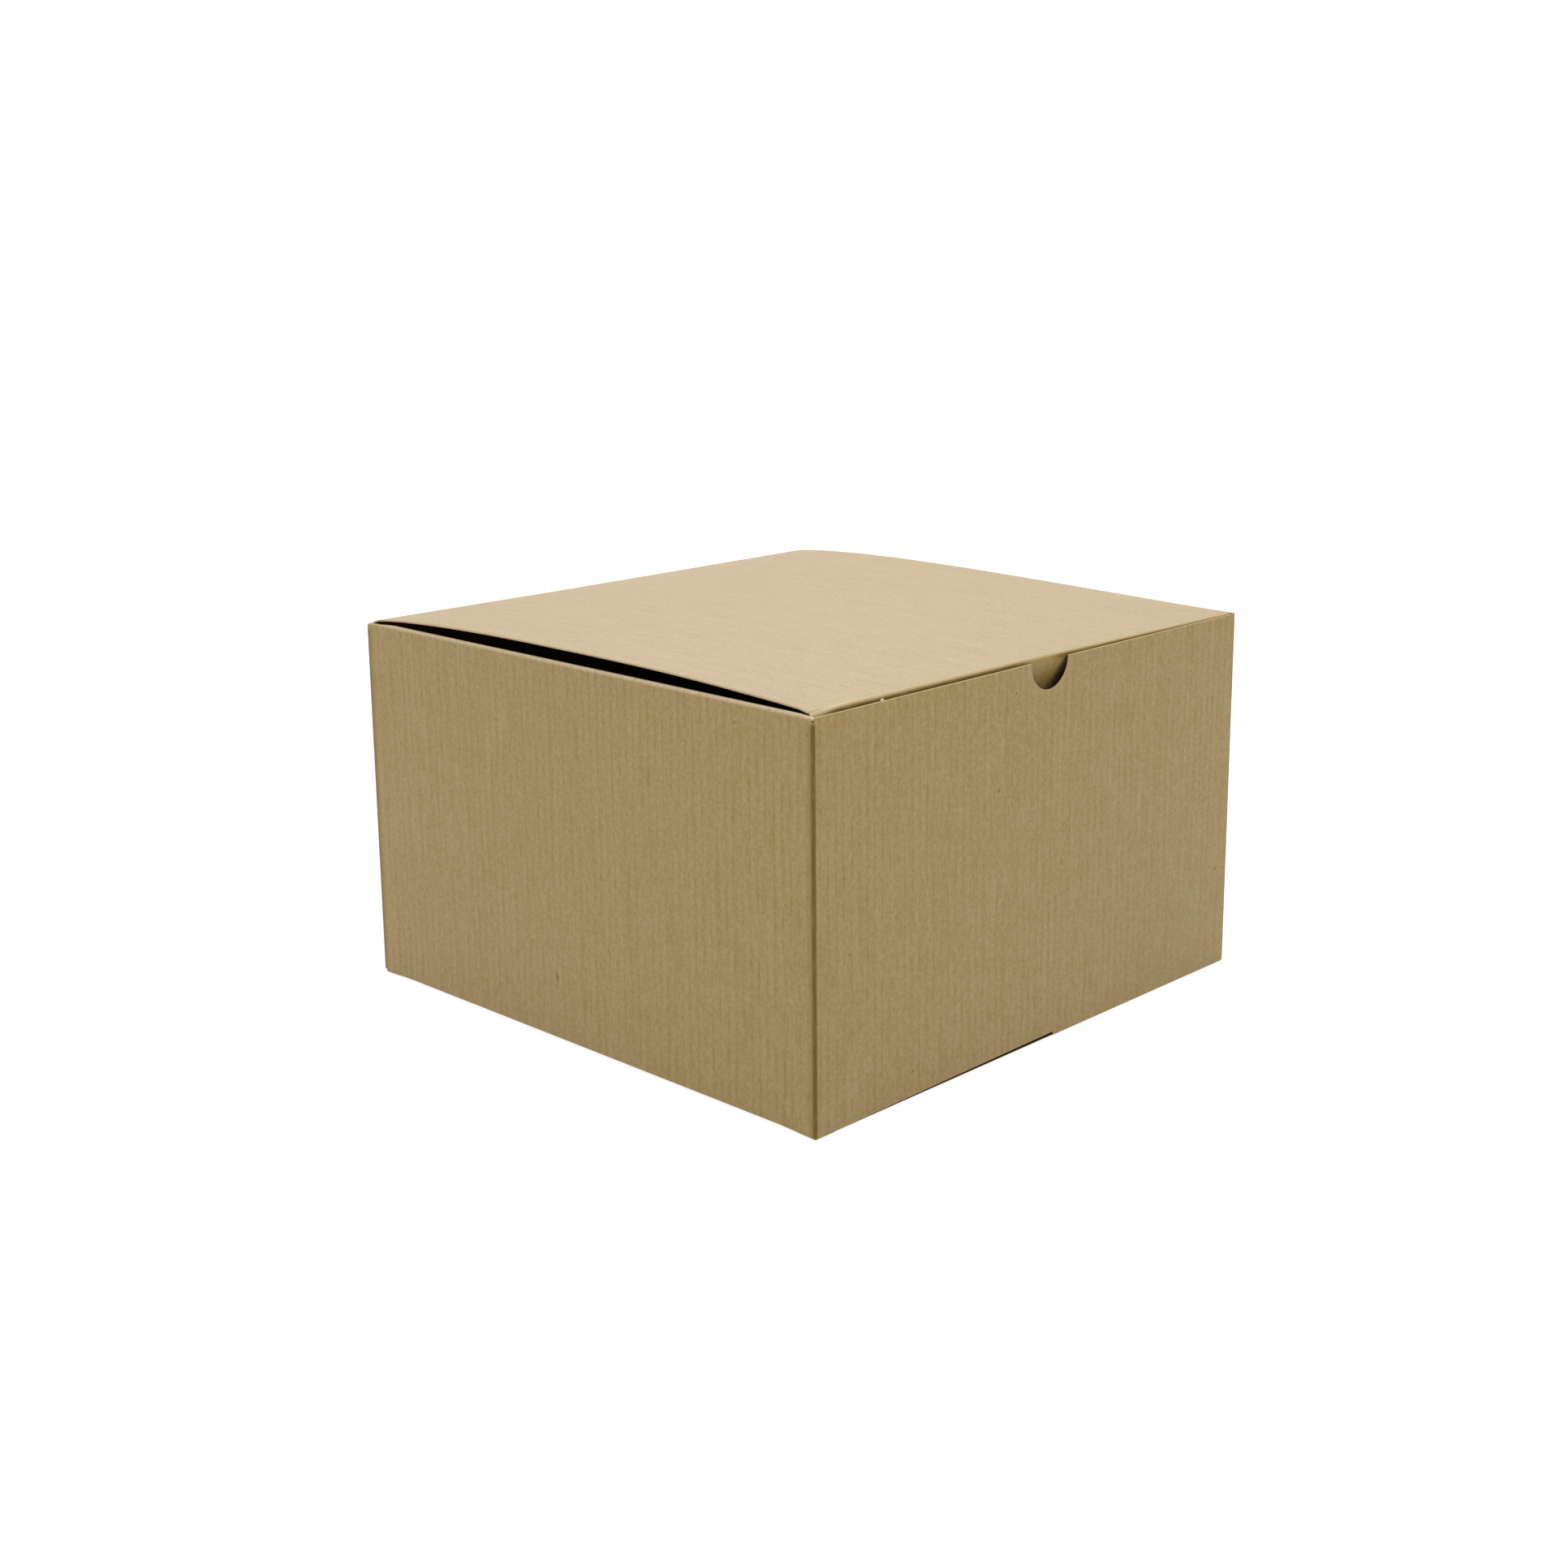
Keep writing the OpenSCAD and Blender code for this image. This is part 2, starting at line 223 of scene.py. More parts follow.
class GiftBoxBoard(bpy.types.PropertyGroup):
    """Sizes of the board, the folds and the cut edges."""

    board: length("Board", "Thickness of the board", BOARD)
    cell: length("Cell", "Size of the cells that a bowed panel is divided into", 4 * MM)
    ripple: length("Ripple", "Depth of the slow waves in a flat panel", 0.16 * MM)
    ripple_wave: length("Ripple wave", "Length of the slow waves in a panel", 55 * MM)
    ripple_fade: length("Ripple fade", "Margin of a panel over which its waves die out", 14 * MM)
    crumple: length("Crumple", "Depth of the dents in the upright folds", 0.06 * MM)
    crumple_wave: length("Crumple wave", "Length of the dents in the upright folds", 9 * MM)
    notch_r: length("Notch radius", "Radius of the half-round thumb notch", 11.5 * MM)
    notch_shift: length("Notch shift", "How far the notch lies to the right of the middle", 2 * MM)
    nick_x: length("Nick place", "Where the torn nick sits along the front wall", -92 * MM)
    nick_w: length("Nick width", "Width of the torn nick", 2.4 * MM)
    nick_h: length("Nick height", "Height of the torn nick", 1.9 * MM)
    edge_round: length("Edge rounding", "Rounding of the front wall's cut top edge", 0.12 * MM)
    slit_start: length("Slit start", "Where the slit under the front wall starts", -119 * MM)
    slit_end: length("Slit end", "Where the slit under the front wall ends", 8 * MM)
    slit_low: length("Slit start height", "Height of the slit at its start", 0.8 * MM)
    slit_h: length("Slit height", "Height of the slit at its end", 1.9 * MM)
    # The pale band above the slit is a painted highlight
    slit_highlight: length("Slit edge", "Height of the painted highlight above the slit", 0.4 * MM)
    slit_depth: length("Slit depth", "How far the foot draws back in the slit", 0.6 * MM)
    slit_step: length("Slit step", "Height over which the foot draws back", 0.08 * MM)
    foot_reach: length("Foot reach", "Length over which a side wall's foot comes down to the floor", 18 * MM)
    fold_top: length("Fold top", "How far the upright folds end below the front wall's top", 1.7 * MM)
    shoulder_dip: length("Shoulder dip", "How far the left shoulder dips at the near corner", 1.1 * MM)
    shoulder_reach: length("Shoulder reach", "Length over which the left shoulder dips", 5 * MM)
    back_dip: length("Back dip", "How far both shoulders dip at the back corners", 1.1 * MM)
    shoulder_back: length("Back reach", "Length over which both shoulders dip at the back", 18 * MM)
    shoulder_flat: length("Shoulder flat", "Last stretch of both shoulders, which dips evenly", 3 * MM)


class GiftBoxLid(bpy.types.PropertyGroup):
    """Sizes of the lid, its tuck flap and the dust flaps."""

    bow: length("Bow", "How far the lid bows up between its folds", 5.17 * MM)
    bow_skew: number("Bow skew", "Below 1 the bow's peak moves back", 0.72)
    left_swell: length("Left swell", "Extra height of the bow at the left front", 0.4 * MM)
    swell_place: number("Swell place", "Share of the lid's depth at the swell", 0.72)
    swell_spread: number("Swell spread", "Share of the lid's depth that the swell spreads over", 0.28)
    left_fill: length("Left fill", "Rise that fills the bow's ends at the left edge", 3.1 * MM)
    lid_ripple: length("Lid ripple", "Depth of the slow waves in the lid", 0.25 * MM)
    right_drop: length("Right drop", "How much flatter the bow is at the lid's right edge", 1.95 * MM)
    right_fall: length("Right fall", "How far the front fold falls towards its right end", 1.3 * MM)
    fall_start: length("Fall start", "Where the front fold starts to fall", -10 * MM)
    corner_droop: length("Corner droop", "How far the near corner's tip bends down", 2.8 * MM)
    corner_reach: length("Corner reach", "How far the bent tip reaches along the front fold", 15 * MM)
    corner_depth: length("Corner depth", "How far the bent tip reaches along the lid's side", 2 * MM)
    corner_cut: length("Corner cut", "Size of the cut at each of the lid's corners", 0.6 * MM)
    lid_root: length("Lid root", "Room for the back wall at the open lid's back edge", 0.3 * MM)
    lid_fold_r: length("Lid fold radius", "Radius of the lid's fold, to the board's middle", 0.5 * MM)
    tuck_fold_r: length("Tuck fold radius", "Radius of the tuck's fold, to the board's middle", 1.3 * MM)
    dust_fold_r: length("Dust fold radius", "Radius of the dust folds, to the board's middle", 0.9 * MM)
    lip: length("Fold lip", "Flat board at each side of a turning fold", 0.3 * MM)
    tuck_len: length("Tuck length", "Length of the tuck flap from its fold to its tip", 32 * MM)
    tuck_lean: angle("Tuck lean", "Lean of the tuck flap into the box", 8)
    tuck_taper: angle("Tuck taper", "Narrowing of the tuck flap along each side", 5)
    tuck_corner: length("Tuck corner", "Radius of the tuck flap's free corners", 14 * MM)
    tuck_belly: length("Tuck belly", "How far the tuck flap bellies into the box", 3.2 * MM)
    dust_len: length("Dust length", "Length of a dust flap from its fold to its tip", 92 * MM)
    dust_droop: angle("Dust droop", "Droop of the dust flaps below level", 22)
    dust_front_taper: angle("Dust front taper", "Slope of a dust flap's front edge", 3)
    dust_back_taper: angle("Dust back taper", "Slope of a dust flap's back edge", 17)
    dust_corner: length("Dust corner", "Radius of a dust flap's free corners", 16 * MM)


class GiftBoxFinish(bpy.types.PropertyGroup):
    """Colours of the board, and sizes of its print and fibres."""

    light: colour("Light print", "Lightest colour of the printed side", 185, 164, 117)
    warm: colour("Warm print", "Lightest colour of its warmer patches", 187, 163, 118)
    dark: colour("Dark print", "Darkest colour of the printed side", 149, 117, 16)
    plain: colour("Plain side", "Colour of the bare side of the board", 168, 142, 92)
    edge: colour("Cut edge", "Colour of the fibres at a cut edge", 198, 176, 136)
    fold: colour("Pressed fold", "Colour of the board where a fold is pressed and rubbed", 119, 94, 34)
    # Painted shade: the dark colour of the tuck's fold where it lies behind the front wall
    band: colour("Tuck band", "Painted shade on the tuck's fold behind the front wall", 121, 89, 24)
    # Painted shadow: the near-black colour in the slit under the front wall
    slit: colour("Slit", "Painted shadow in the slit under the front wall", 46, 30, 8)
    torn: colour("Torn fibre", "Colour of torn fibres", 224, 204, 180)
    # Painted highlight: the pale colour on the dust folds' ridge and at the tuck's near tip
    ridge: colour("Ridge highlight", "Painted highlight on the dust folds' ridge and the tuck's near tip", 214, 194, 156)
    glue: colour("Glue", "Colour of the dried glue", 224, 214, 184)
    pitch: length("Line pitch", "Distance from one printed line to the next", 4 * MM)
    line_w: length("Line width", "Width of a printed line, with its soft sides", 1.6 * MM)
    line_depth: number("Line depth", "How far a line goes towards the dark", 0.2)
    grain_depth: number("Grain depth", "Contrast of the fine grain", 0.9)
    fibre_depth: number("Fibre depth", "Contrast of the long fibres", 0.42)


class GiftBoxStudio(bpy.types.PropertyGroup):
    """Camera, lamps and floor."""

    camera_place: FloatVectorProperty(
        name="Camera place",
        description="Where the camera stands",
        default=(-0.6413, -0.6209, 0.3225),
        subtype="TRANSLATION",
    )
    camera_aim: FloatVectorProperty(
        name="Camera aim",
        description="Direction that the camera looks in",
        default=(0.7037, 0.6734, -0.2266),
        subtype="DIRECTION",
    )
    camera_roll: angle("Camera roll", "Roll of the camera about its aim", -0.34)
    lens: number("Lens", "Focal length of the lens", 50.42, "DISTANCE_CAMERA")
    shift_x: number("Shift X", "Sideways shift of the lens", -0.0207)
    shift_y: number("Shift Y", "Upward shift of the lens", -0.0502)
    fill: number("Fill", "Strength of the light from all round", 0.2)
    top_lamp: number("Top lamp", "Power of the overhead lamp", 16.5, "POWER")
    side_lamp: number("Side lamps", "Power of each side lamp", 6.3, "POWER")
    back_lamp: number("Back lamp", "Power of the lamp behind", 5.6, "POWER")
    floor_glow: number("Floor glow", "Brightness that the camera adds to the floor by the box", 0.86)
    floor: colour("Floor", "Colour of the floor", 235, 235, 235)


def board_sizes():
    return bpy.context.scene.gift_box_board


def lid_sizes():
    return bpy.context.scene.gift_box_lid


def finish_values():
    return bpy.context.scene.gift_box_finish


def studio_values():
    return bpy.context.scene.gift_box_studio


# Shader nodes


def put(tree, kind, **values):
    """Adds a shader node, and links each socket or sets each value on the input of that name or number."""
    node = tree.nodes.new(kind)
    for name, value in values.items():
        label = name.replace("_", " ").title() if not name.startswith("in_") else int(name[3:])
        if isinstance(value, bpy.types.NodeSocket):
            tree.links.new(value, node.inputs[label])
        else:
            node.inputs[label].default_value = value
    return node


def maths(tree, operation, *values):
    """Adds a Math node for an operation on sockets or numbers, and gives its result."""
    node = tree.nodes.new("ShaderNodeMath")
    node.operation = operation
    for socket, value in zip(node.inputs, values):
        if isinstance(value, bpy.types.NodeSocket):
            tree.links.new(value, socket)
        else:
            socket.default_value = value
    return node.outputs[0]


def ramp(tree, value, start, end, low=0.0, high=1.0):
    """Turns a value from start to end into low to high, with soft ends."""
    node = tree.nodes.new("ShaderNodeMapRange")
    node.interpolation_type = "SMOOTHSTEP"
    tree.links.new(value, node.inputs["Value"])
    for name, number in (("From Min", start), ("From Max", end), ("To Min", low), ("To Max", high)):
        node.inputs[name].default_value = number
    return node.outputs["Result"]


def stretched_noise(tree, place, size, detail=2.0, roughness=0.55):
    """Gives noise whose grains have the given size in X, Y and Z, in metres."""
    mapping = tree.nodes.new("ShaderNodeMapping")
    mapping.inputs["Scale"].default_value = [1 / s for s in size]
    tree.links.new(place, mapping.inputs["Vector"])
    noise = put(tree, "ShaderNodeTexNoise", vector=mapping.outputs[0], scale=1.0, detail=detail)
    noise.inputs["Roughness"].default_value = roughness
    return noise.outputs[0]


def mixed(tree, share, first, second):
    """Mixes two colours or colour sockets by a share."""
    node = tree.nodes.new("ShaderNodeMix")
    node.data_type = "RGBA"
    sockets = (node.inputs["Factor"], node.inputs[6], node.inputs[7])
    for socket, value in zip(sockets, (share, first, second)):
        if isinstance(value, bpy.types.NodeSocket):
            tree.links.new(value, socket)
        else:
            socket.default_value = value if isinstance(value, float) else (*value, 1)
    return node.outputs[2]


def darkened(tree, tint, factor):
    """Multiplies a colour by a factor."""
    node = tree.nodes.new("ShaderNodeVectorMath")
    node.operation = "SCALE"
    tree.links.new(tint, node.inputs[0])
    tree.links.new(factor, node.inputs["Scale"])
    return node.outputs[0]


def new_finish(name, roughness, sheen=0.0):
    """Starts a material, and gives it, its node tree, its shader and its object coordinates."""
    material = bpy.data.materials.new(name)
    material.use_nodes = True
    tree = material.node_tree
    shader = tree.nodes["Principled BSDF"]
    shader.inputs["Roughness"].default_value = roughness
    shader.inputs["IOR"].default_value = 1.5
    shader.inputs["Sheen Weight"].default_value = sheen
    shader.inputs["Sheen Roughness"].default_value = 0.3
    place = tree.nodes.new("ShaderNodeTexCoord").outputs["Object"]
    return material, tree, shader, place


def add_relief(tree, shader, height, depth):
    """Raises the surface by a height from 0 to 1, of a given depth."""
    bump = put(tree, "ShaderNodeBump", strength=1.0, distance=depth, height=height)
    tree.links.new(bump.outputs[0], shader.inputs["Normal"])


def grain_size(across, grain):
    """Size in X, Y and Z of a grain that is fine across the board's lines and long along them."""
    fine, long = grain
    return [fine if axis == across else long for axis in "XYZ"]


def board_tone(tree, place, across):
    """Gives the board's tone, from 0 for dark to 1 for light, and its fibres alone."""
    values = finish_values()
    fibres = stretched_noise(tree, place, grain_size(across, FIBRE_GRAIN), 3)
    layers = (
        (stretched_noise(tree, place, [FINE_GRAIN] * 3, 2), values.grain_depth),
        (fibres, values.fibre_depth),
        (stretched_noise(tree, place, grain_size(across, LONG_GRAIN), 2), values.fibre_depth),
        (stretched_noise(tree, place, [CLOUD_GRAIN] * 3, 2), values.fibre_depth / 2),
    )
    tone = 0.5 - sum(depth for noise, depth in layers) / 2
    for noise, depth in layers:
        tone = maths(tree, "MULTIPLY_ADD", noise, depth, tone)
    return tone, fibres


def printed_lines(tree, place, across):
    """Gives 1 on the printed lines and 0 between them. The lines run true, but their ink is broken."""
    values = finish_values()
    split = put(tree, "ShaderNodeSeparateXYZ", vector=place)
    from_line = maths(tree, "PINGPONG", split.outputs["XYZ".index(across)], values.pitch / 2)
    line = ramp(tree, from_line, values.line_w / 2, 0.0)
    ink = stretched_noise(tree, place, grain_size(across, INK_GRAIN), 3)
    return maths(tree, "MULTIPLY", line, ramp(tree, ink, *INK_MARKS))


def upright_corner_shade(tree, place, reach):
    """Gives 1 on the rubbed board beside the four upright folds, and 0 past a reach and near the top."""
    split = put(tree, "ShaderNodeSeparateXYZ", vector=place)
    gaps = [
        maths(tree, "SUBTRACT", -FRONT_LOW.y, maths(tree, "ABSOLUTE", split.outputs[i])) for i in (0, 1)
    ]
    squares = [maths(tree, "MULTIPLY", gap, gap) for gap in gaps]
    distance = maths(tree, "SQRT", maths(tree, "ADD", *squares))
    below = ramp(tree, split.outputs[2], RUB_TOP + RUB_FADE, RUB_TOP)
    return maths(tree, "MULTIPLY", below, ramp(tree, distance, reach, RUB_FULL))


def speck_mask(tree, place, across):
    """Gives 1 on the small dark marks of the walls whose lines lie across one axis."""
    split = put(tree, "ShaderNodeSeparateXYZ", vector=place)
    along = split.outputs["XYZ".index(across)]
    depth = split.outputs["YXZ".index(across)]
    mask = None
    for axis, spot, height, half_w, half_h in SPECKS:
        if axis != across:
            continue
        side = maths(tree, "DIVIDE", maths(tree, "SUBTRACT", along, spot * MM), half_w * MM)
        rise = maths(tree, "DIVIDE", maths(tree, "SUBTRACT", split.outputs[2], height * MM), half_h * MM)
        slant = maths(tree, "MULTIPLY_ADD", rise, SPECK_SLANT, side)
        squares = [maths(tree, "MULTIPLY", value, value) for value in (slant, rise)]
        reach = maths(tree, "ADD", *squares)
        spot_mask = ramp(tree, reach, *SPECK_RIM)
        mask = spot_mask if mask is None else maths(tree, "MAXIMUM", mask, spot_mask)
    return maths(tree, "MULTIPLY", mask, maths(tree, "LESS_THAN", depth, 0.0))


def printed_board(across):
    """Kraft board printed with fine darker lines at an even pitch across one axis."""
    values = finish_values()
    material, tree, shader, place = new_finish(f"printed_board_{across}", roughness=0.42, sheen=0.1)
    tone, fibres = board_tone(tree, place, across)
    line = printed_lines(tree, place, across)
    tone = maths(tree, "MULTIPLY_ADD", line, -values.line_depth, tone)
    patches = stretched_noise(tree, place, [PATCH_GRAIN] * 3, 2)
    light = mixed(tree, ramp(tree, patches, *WARM_MARKS), values.light, values.warm)
    tint = mixed(tree, tone, values.dark, light)
    shade = upright_corner_shade(tree, place, RUB_REACH[across])
    tint = mixed(tree, maths(tree, "MULTIPLY", shade, RUB_SHARE), tint, values.fold)
    specks = maths(tree, "MULTIPLY", speck_mask(tree, place, across), SPECK_SHARE)
    tint = mixed(tree, specks, tint, values.fold)
    tree.links.new(tint, shader.inputs["Base Color"])
    tree.links.new(ramp(tree, fibres, *PRINT_ROUGHNESS), shader.inputs["Roughness"])
    add_relief(tree, shader, fibres, PRINT_RELIEF)
    return material


def plain_board(across="X"):
    """Bare side of the kraft board, with loose fibres and no print."""
    values = finish_values()
    material, tree, shader, place = new_finish(f"plain_board_{across}", roughness=0.62, sheen=0.1)
    tone, fibres = board_tone(tree, place, across)
    flecks = stretched_noise(tree, place, grain_size(across, FLECK_GRAIN), 2)
    tint = mixed(tree, ramp(tree, flecks, *FLECK_MARKS), values.plain, values.fold)
    tint = darkened(tree, tint, maths(tree, "MULTIPLY_ADD", tone, *PLAIN_TONE))
    tree.links.new(tint, shader.inputs["Base Color"])
    add_relief(tree, shader, fibres, PLAIN_RELIEF)
    return material


def cut_edge(name="cut_edge", value="edge", roughness=0.7):
    """Cut edge of the board: pale fibres in thin layers."""
    material, tree, shader, place = new_finish(name, roughness, sheen=0.1)
    fuzz = stretched_noise(tree, place, FUZZ_GRAIN, 2)
    share = ramp(tree, fuzz, *FUZZ_MARKS)
    tint = mixed(tree, share, getattr(finish_values(), value), finish_values().plain)
    tree.links.new(tint, shader.inputs["Base Color"])
    add_relief(tree, shader, fuzz, CUT_RELIEF)
    return material


def fold_tints(tree, place, along, value):
    """Gives the fibres of a pressed fold, its darker tint and its printed tint. The darker tint stands for
    rubbing on the upright folds and is painted shade on the tuck's fold.
    """
    values = finish_values()
    fine, long = STREAK_GRAIN
    streaks = stretched_noise(tree, place, [long if axis == along else fine for axis in "XYZ"], 3)
    rubbed = mixed(tree, ramp(tree, streaks, *STREAK_MARKS), getattr(values, value), values.light)
    return streaks, rubbed, mixed(tree, streaks, values.dark, values.light)


def rubbed_fold(name, along, rubbing, *fades):
    """Board along a pressed fold, darker where rubbed. Each fade turns it into the print along an axis."""
    material, tree, shader, place = new_finish(name, roughness=0.6)
    shader.inputs["Specular IOR Level"].default_value = FOLD_MIRROR
    streaks, tint, print_tint = fold_tints(tree, place, along, "fold")
    tint = mixed(tree, rubbing, print_tint, tint)
    split = put(tree, "ShaderNodeSeparateXYZ", vector=place)
    for axis, start, end in fades:
        tint = mixed(tree, ramp(tree, split.outputs["XYZ".index(axis)], start, end), tint, print_tint)
    tree.links.new(tint, shader.inputs["Base Color"])
    add_relief(tree, shader, streaks, RUB_RELIEF)
    return material


def tuck_band():
    """Tuck's fold: painted shade where it lies behind the front wall, the print over the notch where light
    gets in, paler towards the lid as painted light, and a painted highlight at the near tip.
    """
    values = finish_values()
    material, tree, shader, place = new_finish("tuck_band", roughness=0.6)
    shader.inputs["Specular IOR Level"].default_value = FOLD_MIRROR
    streaks, tint, print_tint = fold_tints(tree, place, "X", "band")
    painted_light = mixed(tree, 0.5, print_tint, values.ridge)
    split = put(tree, "ShaderNodeSeparateXYZ", vector=place)
    along, depth, height = split.outputs
    notch = board_sizes().notch_shift
    open_left = ramp(tree, along, notch - NOTCH_REACH, notch - NOTCH_REACH / 3)
    open_right = ramp(tree, along, notch + NOTCH_REACH / 2, notch)
    # Over the notch light gets behind the wall, so the painted shade gives way to the print
    tint = mixed(tree, maths(tree, "MULTIPLY", open_left, open_right), tint, print_tint)
    # Towards the lid the fold is paler, as painted light
    tint = mixed(tree, ramp(tree, depth, BAND_FRONT, BAND_BACK), tint, painted_light)
    # At the near tip the fold turns to the painted highlight
    gap = maths(tree, "DIVIDE", maths(tree, "SUBTRACT", along, LID_LOW.x), TIP_REACH)
    near = maths(tree, "MAXIMUM", maths(tree, "SUBTRACT", 1.0, gap), 0.0)
    raised = maths(tree, "MULTIPLY", maths(tree, "MULTIPLY", near, near), TIP_RISE)
    height = maths(tree, "ADD", height, raised)
    tint = mixed(tree, ramp(tree, height, BAND_TOP, BAND_TOP + BAND_FADE), tint, values.ridge)
    tree.links.new(tint, shader.inputs["Base Color"])
    add_relief(tree, shader, streaks, RUB_RELIEF)
    return material


def worn_ridge():
    """Printed board over a dust fold, with a painted highlight along its ridge, broken by the fibres."""
    values = finish_values()
    material, tree, shader, place = new_finish("worn_ridge", roughness=0.46, sheen=0.1)
    tone, fibres = board_tone(tree, place, "Y")
    tint = mixed(tree, tone, values.dark, values.light)
    height = put(tree, "ShaderNodeSeparateXYZ", vector=place).outputs[2]
    broken = ramp(tree, fibres, *RIDGE_MARKS)
    # Painted highlight along the ridge, broken by the fibres
    highlight_share = maths(tree, "MULTIPLY", ramp(tree, height, RIDGE_LOW, RIDGE_HIGH), broken)
    tree.links.new(mixed(tree, highlight_share, tint, values.ridge), shader.inputs["Base Color"])
    add_relief(tree, shader, fibres, RIDGE_RELIEF)
    return material


def slit_board():
    """Painted shadow in the slit under the front wall: a dark mottled colour on the drawn-back foot."""
    values = finish_values()
    material, tree, shader, place = new_finish("slit_board", roughness=0.8)
    shader.inputs["Specular IOR Level"].default_value = SLIT_MIRROR
    shadow_mottle = stretched_noise(tree, place, SLIT_SHADOW_GRAIN, 3)
    # Near-black painted shadow, mottled with the fold's colour
    tint = mixed(tree, ramp(tree, shadow_mottle, *SLIT_SHADOW_MARKS), values.slit, values.fold)
    tree.links.new(tint, shader.inputs["Base Color"])
    add_relief(tree, shader, shadow_mottle, SLIT_SHADOW_RELIEF)
    return material


def torn_fibre():
    return cut_edge("torn_fibre", "torn", roughness=0.8)


def dried_glue():
    """Dried glue: a thin cloudy film with a soft gloss."""
    values = finish_values()
    material, tree, shader, place = new_finish("dried_glue", roughness=0.35)
    cloud = stretched_noise(tree, place, [GLUE_GRAIN] * 3, 3)
    tint = mixed(tree, ramp(tree, cloud, *GLUE_MARKS), values.glue, values.plain)
    tree.links.new(tint, shader.inputs["Base Color"])
    tree.links.new(ramp(tree, cloud, *GLUE_ROUGHNESS), shader.inputs["Roughness"])
    add_relief(tree, shader, cloud, GLUE_RELIEF)
    return material


UPRIGHT_FADES = (("Z", RUB_TOP, RUB_TOP + RUB_FADE), ("Z", RUB_FOOT, -RUB_FOOT))
FINISHES = {
    "printed_board_X": lambda: printed_board("X"),
    "printed_board_Y": lambda: printed_board("Y"),
    "plain_board_X": lambda: plain_board("X"),
    "plain_board_Y": lambda: plain_board("Y"),
    "cut_edge": cut_edge,
    "rubbed_fold": lambda: rubbed_fold("rubbed_fold", "Z", 1.0, *UPRIGHT_FADES),
    "pressed_upright": lambda: rubbed_fold("pressed_upright", "Z", 0.4, *UPRIGHT_FADES),
    "tuck_band": tuck_band,
    "worn_ridge": worn_ridge,
    "slit_board": slit_board,
    "torn_fibre": torn_fibre,
    "dried_glue": dried_glue,
}


def finish(name):
    """Gives the material of that name, and makes it when it is first asked for."""
    return bpy.data.materials.get(name) or FINISHES[name]()


# Modelling


def select_only(piece=None):
    """Leaves edit mode, deselects everything, and selects one piece if it is given."""
    if bpy.context.mode != "OBJECT":
        bpy.ops.object.mode_set(mode="OBJECT")
    bpy.ops.object.select_all(action="DESELECT")
    if piece is not None:
        bpy.context.view_layer.objects.active = piece
        piece.select_set(True)


def settle(name, scale=(1, 1, 1)):
    """Names the new primitive and puts its place, turn and size into its mesh."""
    piece = bpy.context.active_object
    piece.name = name
    piece.data.name = name
    piece.scale = scale
    bpy.ops.object.transform_apply(location=True, rotation=True, scale=True)
    return piece


def add_panel(name, centre, size, turn, cell=None):
    """Adds a flat panel of a given size, divided into cells, whose outer face is turned by turn."""
    select_only()
    counts = [max(1, round(side / cell)) if cell else 1 for side in size]
    bpy.ops.mesh.primitive_grid_add(
        x_subdivisions=counts[0], y_subdivisions=counts[1], size=1, location=centre, rotation=turn
    )
    return settle(name, (*size, 1))


def add_tube(name, centre, radius, depth, turn, sides, ends="NOTHING"):
    """Adds a round tube or rod about a centre."""
    select_only()
    bpy.ops.mesh.primitive_cylinder_add(
        vertices=sides, radius=radius, depth=depth, end_fill_type=ends, location=centre, rotation=turn
    )
    return settle(name)


def start_edit(piece):
    """Enters edit mode on one piece with nothing selected."""
    select_only(piece)
    bpy.ops.object.mode_set(mode="EDIT")
    bpy.ops.mesh.select_all(action="DESELECT")


def pick_points(piece, test):
    """Selects the vertices whose place passes a test, and nothing else."""
    bpy.ops.mesh.select_mode(type="VERT")
    mesh = bmesh.from_edit_mesh(piece.data)
    for vertex in mesh.verts:
        vertex.select_set(bool(test(vertex.co)))
    mesh.select_flush(True)
    bmesh.update_edit_mesh(piece.data)


def cut_away(point, normal):
    """Cuts the mesh in edit mode by a plane and removes what lies beyond it."""
    bpy.ops.mesh.select_all(action="SELECT")
    bpy.ops.mesh.bisect(plane_co=point, plane_no=normal, clear_outer=True)


def slice_along(low, high, axis, cell):
    """Slices the mesh in edit mode at even steps along an axis."""
    span = (high - low).dot(axis)
    count = max(1, round(span / cell))
    for i in range(1, count):
        bpy.ops.mesh.select_all(action="SELECT")
        bpy.ops.mesh.bisect(plane_co=low + axis * (span * i / count), plane_no=axis)


def shape_with(piece, kind, **values):
    """Adds a modifier of a kind, sets its values and applies it."""
    select_only(piece)
    modifier = piece.modifiers.new(kind.lower(), kind)
    for name, value in values.items():
        setattr(modifier, name, value)
    bpy.ops.object.modifier_apply(modifier=modifier.name)


def weigh(piece, share):
    """Gives each vertex a weight from 0 to 1, worked out from its place."""
    select_only(piece)
    group = piece.vertex_groups.new(name="share")
    for vertex in piece.data.vertices:
        group.add([vertex.index], min(1.0, max(0.0, share(vertex.co))), "REPLACE")


def press(piece, axis, amount, share):
    """Moves the board along an axis by an amount times each point's share of it."""
    weigh(piece, share)
    shape_with(piece, "DISPLACE", direction=axis, mid_level=0.0, strength=amount, vertex_group="share")
    piece.vertex_groups.clear()


def soft_step(value, start, end):
    """Goes softly from 0 at start to 1 at end."""
    share = min(1.0, max(0.0, (value - start) / (end - start)))
    return share * share * (3 - 2 * share)


def edge_distance(point, low, high):
    """Distance from a point to the nearest edge of a panel's box, over the panel's two long sides."""
    spans = [i for i in range(3) if high[i] - low[i] > LONG_SIDE]
    return min(min(point[i] - low[i], high[i] - point[i]) for i in spans)


